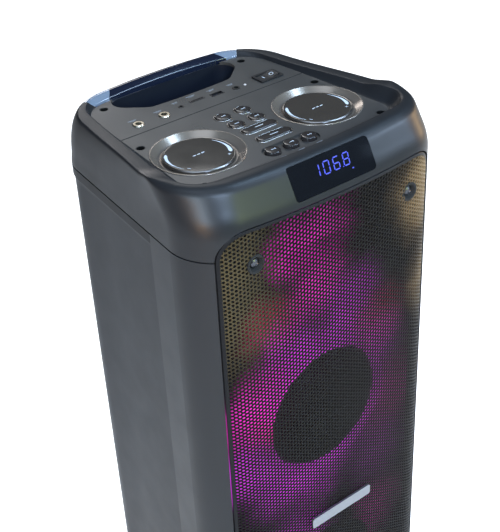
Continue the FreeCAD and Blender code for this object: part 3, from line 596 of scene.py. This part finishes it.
def handle():
    """Glossy grab bar in the rear rim, between two radial joints, with ends made lighter by painted
    reflection.
    """
    first = sum(COUNTS[:3]) + int(COUNTS[3] * 0.55)
    right = np.array([handle_ring(j) for j in range(first, COLUMNS)])
    left = right[-2::-1].copy()
    left[..., 0] *= -1
    bar = np.concatenate((right, left))
    fronts = bar[:, FRONT_ROW, 0]
    inner = np.flatnonzero((fronts > GRIP_ENDS[0]) & (fronts < GRIP_ENDS[1]))
    start, stop = int(inner[0]), int(inner[-1]) + 1
    piece("handle_grip", *loft(bar[start:stop], ends=True), "handle_gloss",
          stands_for=("handle_bar",))
    piece("handle_end_1", *loft(bar[:start + 1], ends=True), "handle_sheen",
          slot="handle_gloss")
    piece("handle_end_2", *loft(bar[stop - 1:], ends=True), "handle_sheen",
          slot="handle_gloss")


cap_shell()
handle()


# ------------------------------ grille
HOLE_PITCH = 4.25
HOLE_R = 1.55
SHEET = 1.2
GRILLE_INSET = 1.0
HOLE_SIDES = 10


def front_curve(inset):
    """Arc length, x, y and outward normal along the front half outline at an inset."""
    half = half_outline(*inset_by((CABINET_FRONT, CABINET_REAR), inset), (400, 600, 4, 4, 4))
    half = half[:1000]
    step = np.linalg.norm(np.diff(half, axis=0), axis=1)
    return np.concatenate(((0,), np.cumsum(step))), half


ARC, CURVE = front_curve(GRILLE_INSET)


def on_sheet(s, z, depth):
    """Points on the grille sheet at arc length s from the centre line, depth behind its face."""
    s, z, depth = np.broadcast_arrays(np.asarray(s, float), z, depth)
    x = np.interp(np.abs(s), ARC, CURVE[:, 0])
    y = np.interp(np.abs(s), ARC, CURVE[:, 1])
    front_x, front_r, front_bow = CABINET_FRONT[1:]
    hub_y = CABINET_FRONT[0] + front_bow
    corner_y = hub_y - math.sqrt((front_bow - front_r) ** 2 - front_x ** 2)
    turn = front_x / (front_bow - front_r) * (front_bow - GRILLE_INSET)
    on_bow = x < turn
    nx = np.where(on_bow, x, x - front_x)
    ny = np.where(on_bow, y - hub_y, y - corner_y)
    size = np.hypot(nx, ny)
    x = x - nx / size * depth
    y = y - ny / size * depth
    return np.stack((np.where(s < 0, -x, x), y, z), -1)


def arc_of(x):
    """Arc length at a given x on the sheet."""
    return np.sign(x) * np.interp(np.abs(x), CURVE[:, 0], ARC)


def grille():
    """Perforated sheet in four bands of cells, with a plain folded border."""
    low, high, middle = cad("grille")
    half_h = (high.z - low.z) / 2
    half_w = OPENING_HALF_W - OPENING_GAP
    corner = OPENING_CORNER - OPENING_GAP
    margin = 2.0
    screws = [(side * SCREW_X, z) for z in SCREW_ZS for side in (-1, 1)]
    column_pitch = HOLE_PITCH * math.sqrt(3) / 2
    columns = int(arc_of(half_w) / column_pitch) + 1
    rows = int(half_h / HOLE_PITCH) + 1
    cells = []
    for i in range(-columns, columns + 1):
        s = i * column_pitch
        x = float(np.interp(abs(s), ARC, CURVE[:, 0]))
        for k in range(-rows, rows + 1):
            z = k * HOLE_PITCH + (i % 2) * HOLE_PITCH / 2
            out_x = max(0.0, x - (half_w - corner))
            out_z = max(0.0, abs(z) - (half_h - corner))
            if x > half_w - margin or abs(z) > half_h - margin:
                continue
            if math.hypot(out_x, out_z) > corner - margin:
                continue
            spot_x = math.copysign(x, s)
            if any(math.hypot(spot_x - a, middle.z + z - b) < 9.2 for a, b in screws):
                continue
            cells.append((s, middle.z + z))
    cells.sort(key=lambda cell: cell[1])
    bands = 4
    share = math.ceil(len(cells) / bands)
    for band in range(bands):
        some = np.array(cells[band * share:(band + 1) * share])
        hex_cells("grille_mesh_%d" % (band + 1), some, ("grille",) if band == 0 else ())
    border = rounded_rectangle(half_w, half_h, corner, 12)
    inner = rounded_rectangle(half_w - 3.4, half_h - 3.4, corner - 3.4, 12)
    inner_low = rounded_rectangle(half_w - 3.0, half_h - 3.0, corner - 3.0, 12)
    rings = []
    for outline, depth in ((border, 1.6), (border, 0.4), (inset_loop(border, 0.4), -0.05),
                           (inner_low, -0.05), (inner, 0.3), (inner, 1.6)):
        dense = densified(outline, 12.0)
        x = np.array([p[0] for p in dense])
        z = np.array([p[1] for p in dense])
        rings.append(on_sheet(arc_of(x), z + middle.z, depth))
    piece("grille_border", *loft(rings, along=True), "sheet_edge", slot="grille_steel")


def inset_loop(outline, amount):
    """A rounded rectangle outline moved in, point by point."""
    points = np.array(outline)
    half = points.max(0)
    return [tuple(p) for p in points * (1 - amount / half)]


def densified(outline, step):
    """The same loop with the long straight stretches cut up evenly."""
    out = []
    for (ax, az), (bx, bz) in zip(outline, outline[1:] + outline[:1]):
        parts = max(1, int(round(math.hypot(bx - ax, bz - az) / step)))
        out.extend((ax + (bx - ax) * i / parts, az + (bz - az) * i / parts)
                   for i in range(parts))
    return out


def hex_cells(name, cells, stands_for):
    """Punched sheet: a hexagonal tile with a round hole about every cell."""
    count = len(cells)
    hex_r = HOLE_PITCH / math.sqrt(3)
    hex_a = np.radians(np.arange(6) * 60)
    hole_a = np.radians(np.arange(HOLE_SIDES) * 360 / HOLE_SIDES)
    outer = np.stack((np.cos(hex_a), np.sin(hex_a)), 1) * hex_r
    inner = np.stack((np.cos(hole_a), np.sin(hole_a)), 1) * HOLE_R
    layers = []
    for shape, depth in ((outer, 0.0), (inner, 0.0), (inner, SHEET), (outer, SHEET)):
        s = cells[:, 0, None] + shape[None, :, 0]
        z = cells[:, 1, None] + shape[None, :, 1]
        layers.append(on_sheet(s, z, depth))
    points = np.concatenate(layers, 1).reshape(-1, 3)
    faces = []
    top_hex, top_hole = list(range(6)), list(range(6, 6 + HOLE_SIDES))
    low_hole = [i + HOLE_SIDES for i in top_hole]
    low_hex = [i + 6 + 2 * HOLE_SIDES for i in range(6)]
    i = j = 0
    while i < 6 or j < HOLE_SIDES:
        hexes = (top_hex[i % 6], top_hex[(i + 1) % 6])
        holes = (top_hole[j % HOLE_SIDES], top_hole[(j + 1) % HOLE_SIDES])
        low_hexes = (low_hex[i % 6], low_hex[(i + 1) % 6])
        low_holes = (low_hole[j % HOLE_SIDES], low_hole[(j + 1) % HOLE_SIDES])
        if j >= HOLE_SIDES or (i < 6 and (i + 0.5) / 6 < (j + 0.5) / HOLE_SIDES):
            faces.append((hexes[0], hexes[1], holes[0]))
            faces.append((low_hexes[1], low_hexes[0], low_holes[0]))
            i += 1
        else:
            faces.append((hexes[0], holes[1], holes[0]))
            faces.append((low_hexes[0], low_holes[0], low_holes[1]))
            j += 1
    for a, b, c, d in zip(top_hole, top_hole[1:] + top_hole[:1], low_hole[1:] + low_hole[:1],
                          low_hole):
        faces.extend(((a, b, c), (a, c, d)))
    per_cell = 12 + 2 * HOLE_SIDES
    triangles = (np.array(faces)[None] + np.arange(count)[:, None, None] * per_cell)
    triangles = triangles.reshape(-1, 3)
    mesh = bpy.data.meshes.new(name)
    mesh.vertices.add(len(points))
    mesh.vertices.foreach_set("co", (points * MM).astype(np.float32).ravel())
    mesh.loops.add(triangles.size)
    mesh.loops.foreach_set("vertex_index", triangles.astype(np.int32).ravel())
    mesh.polygons.add(len(triangles))
    mesh.polygons.foreach_set("loop_start", np.arange(0, triangles.size, 3, dtype=np.int32))
    mesh.update(calc_edges=True)
    mesh.materials.append(LOOKS["grille_steel"])
    item = linked(name, mesh)
    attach(item, "cabinet")
    if stands_for:
        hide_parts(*stands_for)


SCREW_X = cad("grille_screws")[1].x - 2.7
SCREW_ZS = (cad("grille_screws")[1].z - 2.7, cad("grille_screws")[0].z + 2.7)


def grille_screws():
    """Button screws in dark dished cups pressed into the sheet."""
    face_y = float(on_sheet(SCREW_X, 0, 0)[1])
    for i, (side, z) in enumerate((side, z) for z in SCREW_ZS for side in (-1, 1)):
        centre = (side * SCREW_X, face_y, z)
        cup = [(9.6, -1.6), (9.6, 0.0), (8.4, 0.45), (7.2, 0.1), (4.8, -4.4), (2.4, -4.6),
               (2.4, -5.4), (8.0, -3.4)]
        piece("grille_cup_%d" % (i + 1), *turned(cup, centre, 40, "front", True), "seam_shadow",
              slot="grille_steel")
        head = [(0, -4.5), (4.3, -4.5), (4.5, -3.4), (4.1, -2.2), (2.9, -1.5), (2.5, -2.2),
                (0, -2.4)]
        piece("grille_screw_%d" % (i + 1), *turned(head, centre, 32, "front"), "screw_steel",
              stands_for=("grille_screws",) if i == 0 else ())


grille()
grille_screws()


# ------------------------------ side panels
SIDE_INSET = 4.2
SIDE_BACK = 7.3
COVE = 9.0


def side_panel(node, sign):
    """Recessed side panel: a flat tray whose top edge coves out to the cabinet's face."""
    low, high, _ = cad(node)
    whole = (CABINET_FRONT, CABINET_REAR)
    front_y, rear_y = low.y, high.y
    outer = half_outline(*whole, (4, 4, 160, 160, 4))
    deep = half_outline(*inset_by(whole, 10.0), (4, 4, 160, 160, 4))
    side = [i for i in range(len(outer)) if front_y <= outer[i, 1] <= rear_y and outer[i, 0] > 60]
    side = side[::6] + [side[-1]]
    rings = []
    for i in side:
        away = (deep[i] - outer[i]) / np.linalg.norm(deep[i] - outer[i])
        along = (outer[i, 1] - front_y) / (rear_y - front_y)
        face = SIDE_INSET * (1 - 0.75 * float(smooth((along - 0.55) / 0.45)))
        rows = [(face, low.z), (face, low.z + 4)]
        rows += [(face, low.z + 4 + (high.z - low.z - 4 - COVE) * k / 12) for k in range(1, 13)]
        for k in range(1, 9):
            a = math.pi / 2 * k / 8
            rows.append((face - (face - 0.5) * (1 - math.cos(a)), high.z - COVE * (1 - math.sin(a))))
        rows += [(SIDE_BACK, high.z), (SIDE_BACK, low.z)]
        ring = []
        for depth, z in rows:
            x, y = outer[i] + away * depth
            ring.append((sign * x, y, z))
        rings.append(ring)
    piece(node + "_tray", *loft(rings, ends=True), "side_plastic", stands_for=(node,))


side_panel("left_side_panel", -1)
side_panel("right_side_panel", 1)


# ------------------------------ knobs and bezels
PRINT_RISE = 0.07
CRESCENTS = (((-33, 29), (27.0, 31.0)), ((141, 208), (28.0, 31.4)))


def knob(name, bezel):
    """Flat disc with a bright bevel, its white marks, and the mirror dish round it."""
    low, high, centre = cad(name)
    top, radius = high.z, (high.x - low.x) / 2
    rim = cad(bezel)
    flange_r = (rim[1].x - rim[0].x) / 2
    base = rim[0].z
    profile = [(0, top), (radius - 2.6, top), (radius - 2.2, top - 0.12), (radius - 1.2, top - 0.05),
               (radius - 0.5, top - 0.35), (radius, top - 1.0), (radius, top - 2.3),
               (5.0, top - 2.4), (5.0, low.z + 0.1), (0, low.z + 0.1)]
    place = (centre.x, centre.y, 0)
    piece(name + "_wheel", *turned(softened(profile, 0.3), place, 96), "knob_gloss", name,
          stands_for=(name,))
    shine = [(radius - 1.9, top - 0.11), (radius - 1.2, top + 0.03), (radius - 0.5, top - 0.3),
             (radius - 0.1, top - 0.9), (radius - 0.6, top - 0.6)]
    piece(name + "_bevel", *turned(shine, place, 96, closed=True), "ring_chrome", name)
    for i, ((start, end), (inner, outer)) in enumerate(CRESCENTS):
        crescent(name + "_swoosh_%d" % (i + 1), place, top, start, end, inner, outer, name)
    for i, angle in enumerate((-42.6, 216.0)):
        tick(name + "_tick_%d" % (i + 1), place, top, angle, 28.2, i == 0, name)
    legend = [bar_mark((centre.x + x, centre.y), top, 1.7, 0.6) for x in (-4.8, 0.0, 4.8)]
    piece(name + "_legend", *merged(legend), "white_print", name, slot="knob_gloss")
    dish = [(5.3, base + 1.2), (36.1, base + 1.2), (36.4, base + 1.3), (flange_r - 1.7, PANEL_Z + 0.45),
            (flange_r - 1.2, PANEL_Z + 0.72), (flange_r - 0.3, PANEL_Z + 0.6),
            (flange_r, PANEL_Z + 0.05), (flange_r - 1.2, PANEL_Z + 0.05),
            (flange_r - 1.2, PANEL_Z - 1.6), (flange_r - 7.8, base), (5.3, base)]
    piece(name + "_dish", *turned(softened(dish, 0.25), place, 96, closed=True), "bezel_chrome",
          stands_for=(bezel,))


def crescent(name, place, top, start, end, inner, outer, body):
    """Thin raised mark that tapers towards its second end."""
    steps = 24
    rows = []
    for i in range(steps + 1):
        t = i / steps
        a = math.radians(start + (end - start) * t)
        taper = math.sin(math.pi * min(1.0, 0.12 + 0.88 * (1 - t) ** 0.8) / 2) * min(1, 8 * t + .3)
        middle = inner + (outer - inner) * 0.62
        half = (outer - inner) * 0.5 * taper * (1 - 0.75 * t)
        ring = []
        for r, h in ((middle - half, 0.0), (middle + half, 0.0), (middle + half, 0.07),
                     (middle - half, 0.07)):
            ring.append((place[0] + r * math.cos(a), place[1] + r * math.sin(a), top + h))
        rows.append(ring)
    piece(name, *loft(rows, ends=True), "white_print", body, slot="knob_gloss")


def tick(name, place, top, angle, radius, plus, body):
    """Minus or plus sign near the rim."""
    a = math.radians(angle)
    spot = (place[0] + radius * math.cos(a), place[1] + radius * math.sin(a))
    strokes = [bar_mark(spot, top, 1.5, 0.3, angle + 90)]
    if plus:
        strokes.append(bar_mark(spot, top, 0.3, 1.5, angle + 90))
    piece(name, *merged(strokes), "white_print", body, slot="knob_gloss")


def bar_mark(spot, z, half_w, half_h, angle=0.0):
    """Thin raised dash."""
    a = math.radians(angle)
    outline = []
    for x, y in rounded_rectangle(half_w, half_h, min(half_w, half_h) * 0.8, 3):
        outline.append((spot[0] + x * math.cos(a) - y * math.sin(a),
                        spot[1] + x * math.sin(a) + y * math.cos(a)))
    return prism(outline, z, z + PRINT_RISE)


knob("mic_knob", "mic_knob_bezel")
knob("volume_knob", "volume_knob_bezel")


# ------------------------------ keys
def stadium(half_w, half_d, grow):
    """Outline of a key, round at both ends, grown all round."""
    return rounded_rectangle(half_w + grow, half_d + grow, half_d + grow - 0.001, 12)


def key(node, half_w, half_d, ringed):
    """Domed glossy key with a thin bright ring and a short printed dash."""
    low, high, centre = cad(node)
    top = high.z - (1.2 if ringed else 0.6)
    rings = []
    rows = [(0.0, low.z), (0.0, top - 0.7), (-0.2, top - 0.35), (-0.7, top - 0.12),
            (-2.0, top - 0.03), (-3.6, top), (-half_d + 0.4, top + 0.01)]
    for grow, z in rows:
        rings.append([(centre.x + x, centre.y + y, z) for x, y in stadium(half_w, half_d, grow)])
    piece(node + "_cap", *loft(rings, ends=True), "button_gloss", node, stands_for=(node,),
          sharp=50)
    wide = half_w > half_d + 0.1
    marks = [bar_mark((centre.x, centre.y), top + 0.01, 5.0 if wide else 1.9, 0.35)]
    if not wide:
        marks.append(bar_mark((centre.x + 2.6, centre.y), top, 0.35, 1.1))
    piece(node + "_print", *merged(marks), "white_print", node, slot="button_gloss")
    if not ringed:
        return
    rings = []
    for grow, z in ((0.7, PANEL_Z + 0.05), (0.75, PANEL_Z + 0.35), (1.0, PANEL_Z + 0.5),
                    (1.3, PANEL_Z + 0.45), (1.6, PANEL_Z + 0.2), (1.65, PANEL_Z + 0.05)):
        rings.append([(centre.x + x, centre.y + y, z) for x, y in stadium(half_w, half_d, grow)])
    first = node == "round_button_1"
    piece(node + "_ring", *loft(rings, along=True), "ring_chrome",
          stands_for=("button_rings",) if first else ())


KEY_LIP = 1.8
for node in sorted(frame["nodes"]):
    if "_button_" in node:
        low, high, centre = cad(node)
        key(node, (high.x - low.x) / 2 - KEY_LIP, (high.y - low.y) / 2 - KEY_LIP,
            not node.startswith("menu"))


# ------------------------------ display
SEGMENT_HALF_W = 0.55
DISPLAY_OUT = np.array((0, -0.47, 0.28))
DIGITS = {"0": "abcdef", "1": "bc", "6": "acdefg", "8": "abcdefg"}
READOUT = (("1", -21.6), ("0", -9.8), ("6", 1.6), ("8", 13.2))


def on_display(across, drop):
    """Point on the display's face, drop mm down the slope from its top edge."""
    _, _, z = display_point(0, 15.8 - drop, 0)
    u = z - PANEL_Z
    back, _, _ = level_at(u)
    hub = CABINET_FRONT[0] + back + CABINET_FRONT[3]
    y = hub - math.sqrt(CABINET_FRONT[3] ** 2 - across ** 2)
    return np.array((across, y, z)) + DISPLAY_OUT * 0.28


def segment(ends):
    """Six-sided lit bar between two points of the display's face."""
    (ax, ad), (bx, bd) = ends
    along = np.array((bx - ax, bd - ad))
    length = np.linalg.norm(along)
    along = along / length
    side = np.array((-along[1], along[0])) * SEGMENT_HALF_W
    a, b = np.array((ax, ad)) + along * 0.35, np.array((bx, bd)) - along * 0.35
    flat = (a, a + along * 0.6 + side, b - along * 0.6 + side, b, b - along * 0.6 - side,
            a + along * 0.6 - side)
    low = [tuple(on_display(x, d)) for x, d in flat]
    high = [tuple(on_display(x, d) + np.array((0, -0.1, 0.05))) for x, d in flat]
    return loft([low, high], ends=True)


def readout():
    """Lit digits on the display."""
    parts = []
    top, tall, wide, lean = 7.0, 11.0, 6.4, -0.09
    for digit, x in READOUT:
        spots = {}
        for row, drop in enumerate((0, tall / 2, tall)):
            for column in (0, 1):
                spots[row, column] = (x + column * wide + lean * (drop - tall / 2), top + drop)
        strokes = {"a": ((0, 0), (0, 1)), "b": ((0, 1), (1, 1)), "c": ((1, 1), (2, 1)),
                   "d": ((2, 0), (2, 1)), "e": ((1, 0), (2, 0)), "f": ((0, 0), (1, 0)),
                   "g": ((1, 0), (1, 1))}
        for letter in DIGITS[digit]:
            start, end = strokes[letter]
            parts.append(segment((spots[start], spots[end])))
    parts.append(segment(((10.3, 18.0), (12.2, 18.0))))
    parts.append(segment(((19.4, 22.5), (22.4, 22.5))))
    piece("readout", *merged(parts), "segment_blue", slot="display_glass")


readout()


# ------------------------------ panel details
def screw_heads():
    """Screws sunk in dark sleeves in the panel."""
    spots = [(side * x, y) for x, y in ((85.8, 103.0), (106.0, 8.3), (104.5, -88.9))
             for side in (-1, 1)]
    z = PANEL_Z - 4.1
    for i, (x, y) in enumerate(spots):
        profile = [(0, z - 0.9), (1.0, z - 0.8), (1.3, z), (3.0, z - 0.25), (3.3, z - 0.8),
                   (3.35, PANEL_Z - 0.2), (3.6, PANEL_Z - 0.2), (3.6, z - 2.0), (0, z - 2.0)]
        piece("panel_screw_%d" % (i + 1), *turned(profile, (x, y, 0), 28), "dark_steel",
              stands_for=("panel_screws",) if i == 0 else ())


def panel_prints():
    """Short dashes where the panel is marked."""
    marks = []
    z = PANEL_Z + 0.02
    for node, width in (("mic_jack_1", 3.2), ("mic_jack_2", 3.2), ("aux_jack", 2.4),
                        ("card_slot", 3.6), ("usb_port", 3.0), ("charging_socket", 2.6)):
        centre = cad(node)[2]
        marks.append(bar_mark((centre.x, centre.y + 11.5), z, 1.5 * width, 0.45))
        marks.append(bar_mark((centre.x, centre.y + 9.8), z, width, 0.3))
    for node in ("menu_button_1", "menu_button_2", "menu_button_3"):
        centre = cad(node)[2]
        marks.append(bar_mark((centre.x, centre.y - 14.8), z, 3.6, 0.4))
    piece("panel_prints", *merged(marks), "faint_print", slot="panel_plastic")


def panel_groove():
    """Black strip in the panel's groove: painted shade along the groove."""
    y = cad("mic_jack_1")[2].y - 17.0
    strip = [(-110.2, y - 0.6), (110.2, y - 0.6), (110.2, y + 0.6), (-110.2, y + 0.6)]
    piece("panel_groove_shade", *prism(strip, PANEL_Z - 0.58, PANEL_Z + 0.03), "seam_shadow",
          slot="panel_plastic")


def pilot_light():
    """Tiny lens beside the charging socket."""
    x, y = 51.0, cad("charging_socket")[2].y
    profile = [(0, PANEL_Z + 0.9), (0.9, PANEL_Z + 0.7), (1.5, PANEL_Z + 0.02), (0, PANEL_Z + 0.01)]
    piece("pilot_lens", *turned(profile, (x, y, 0), 20), "pilot_light", slot="socket_black")


def rocker_marks():
    """I and O signs on the two wings of the rocker."""
    low, high, centre = cad("power_rocker")
    mesh = frame["nodes"]["power_rocker"].data
    spots = np.array([v.co for v in mesh.vertices]) / MM

    def height(x):
        """Top of the paddle at x."""
        near = spots[np.abs(spots[:, 1] - low.y) < 0.2]
        upper = near[near[:, 2] > high.z - 6]
        order = np.argsort(upper[:, 0])
        return float(np.interp(x, upper[order, 0], upper[order, 2]))

    circle = []
    x = centre.x + 5.2
    for r in (1.9, 2.5):
        circle.append([(x + r * math.cos(a), centre.y + r * math.sin(a),
                        height(x + r * math.cos(a)) + 0.06)
                       for a in np.linspace(0, 2 * math.pi, 24, endpoint=False)])
    raised = [[(px, py, pz + 0.08) for px, py, pz in ring] for ring in circle]
    rings = [circle[0], circle[1], raised[1], raised[0]]
    x = centre.x - 5.2
    bar = [[(x + dx, centre.y + dy, height(x + dx) + h)
            for dx, dy in ((-0.35, -2.3), (0.35, -2.3), (0.35, 2.3), (-0.35, 2.3))]
           for h in (0.04, 0.14)]
    piece("rocker_signs", *merged((loft(rings, along=True), loft(bar, ends=True))), "white_print",
          "power_rocker", slot="switch_plastic")


screw_heads()
panel_prints()
panel_groove()
pilot_light()
rocker_marks()


# ------------------------------ CAD nodes that stay
# Those that don't have the look of their own slot: the boards and rings behind the sheet are lit.
KEEP_LOOK = {"handle_cup": "cup_plastic", "tweeter_horn": "baffle_board",
             "woofer_upper_basket": "baffle_board", "woofer_lower_basket": "baffle_board",
             "led_ring_upper": "baffle_board", "led_ring_lower": "baffle_board"}
for entry in frame["record"]["subparts"]:
    node = frame["nodes"][entry["node"]]
    look = LOOKS[KEEP_LOOK.get(entry["node"], entry["material_slot"])]
    node.data.materials.clear()
    node.data.materials.append(look)


# ------------------------------ camera, lights, floor
def camera():
    """Above the left front corner, looking down at the cap."""
    azimuth, elevation, roll = (math.radians(a) for a in (-36.97, 33.08, -3.02))
    back = Vector((math.sin(azimuth) * math.cos(elevation),
                   -math.cos(azimuth) * math.cos(elevation), math.sin(elevation)))
    right = Vector((math.cos(azimuth), math.sin(azimuth), 0))
    up = back.cross(right)
    rolled_right = right * math.cos(roll) + up * math.sin(roll)
    rolled_up = up * math.cos(roll) - right * math.sin(roll)
    data = bpy.data.cameras.new("camera")
    data.lens = 76.09
    data.sensor_width = 36
    data.clip_end = 50
    item = linked("camera", data)
    pose = Matrix((rolled_right, rolled_up, back)).transposed().to_4x4()
    pose.translation = (-0.58733, -0.78829, 1.30002)
    item.matrix_world = pose
    bpy.context.scene.camera = item


# Azimuth (0 is the front, 90 the right), elevation, size in metres, watts and colour.
SOFTBOXES = {
    "sky_front_left": (-56, 20, 0.5, 42, (0.60, 0.80, 1.0)),
    "sky_front": (-13, 36, 0.5, 56, (0.53, 0.71, 1.0)),
    "leaf_front": (13, 18, 0.5, 14, (0.79, 1.0, 0.42)),
    "sky_front_right": (52, 21, 0.5, 29, (0.55, 0.73, 1.0)),
    "sky_right": (77, 62, 0.5, 19, (0.49, 0.72, 1.0)),
    "sky_high_right": (55, 46, 0.5, 16, (0.55, 0.74, 1.0)),
    "wood_right": (82, 3, 0.5, 12, (1.0, 0.68, 0.37)),
    "wood_left": (-60, 4, 0.5, 17, (1.0, 0.48, 0.08)),
    "sky_top": (-70, 72, 1.4, 14, (0.70, 0.82, 1.0)),
    "back_low": (160, 14, 0.5, 4, (1.0, 0.97, 0.97)),
    "back_high": (150, 40, 0.5, 5.2, (1.0, 1.0, 1.0)),
}
LIGHT_REACH = 2.4
# Strength of the room as a light and as the backdrop, and of the light painted on the floor.
ROOM_LEVELS = (0.05, 0.9)
FLOOR_PAINTED_LIGHT = (0.36, 0.95)
AIM = Vector((0, 0, 0.8))


def softbox(name, azimuth, elevation, size, power, colour):
    """Square light at a distance from the cap, facing it."""
    data = bpy.data.lights.new(name, "AREA")
    data.size = size
    data.energy = power
    data.color = colour
    around, up = math.radians(azimuth), math.radians(elevation)
    away = Vector((math.sin(around) * math.cos(up), -math.cos(around) * math.cos(up),
                   math.sin(up)))
    item = linked(name, data)
    item.location = AIM + away * LIGHT_REACH
    item.rotation_euler = (-away).to_track_quat("-Z", "Y").to_euler()
    item.visible_camera = False


def studio():
    """Soft boxes round the object, and a pale room that adds only a little light."""
    for name, settings in SOFTBOXES.items():
        softbox(name, *settings)
    world = bpy.data.worlds.new("studio")
    world.use_nodes = True
    tree = world.node_tree
    room = tree.nodes["Background"]
    room.inputs["Color"].default_value = (1, 1, 1, 1)
    level = remapped(tree, add(tree, "LightPath").outputs["Is Camera Ray"], end=ROOM_LEVELS)
    tree.links.new(level, room.inputs["Strength"])
    bpy.context.scene.world = world


def floor():
    """Pale floor with painted light on it, brightest where two wide soft bands cross."""
    half = 6000.0
    material, tree, shader = node_tree("floor_pale")
    shader.inputs["Roughness"].default_value = 0.9
    shader.inputs["Base Color"].default_value = (0.8, 0.8, 0.8, 1)
    shader.inputs["Emission Color"].default_value = (1, 1, 1, 1)
    place = add(tree, "NewGeometry").outputs["Position"]
    both = add(tree, "Math", operation="MULTIPLY")
    edges = (((0.6, 0.8, 0), (-0.05, 0.2)), ((0.914, -0.407, 0), (-0.62, -0.24)))
    for socket, (direction, span) in zip(both.inputs, edges):
        reach = vector_math(tree, "DOT_PRODUCT", place, direction)
        tree.links.new(remapped(tree, reach, span, kind="SMOOTHSTEP"), socket)
    level = remapped(tree, both.outputs["Value"], end=FLOOR_PAINTED_LIGHT)
    tree.links.new(level, shader.inputs["Emission Strength"])
    mesh = bpy.data.meshes.new("floor")
    corners = [(-half, -half, 0), (half, -half, 0), (half, half, 0), (-half, half, 0)]
    mesh.from_pydata([tuple(c * MM for c in corner) for corner in corners], [], [(0, 1, 2, 3)])
    mesh.materials.append(material)
    linked("floor", mesh)


camera()
studio()
floor()
bpy.context.scene.view_settings.view_transform = "Standard"
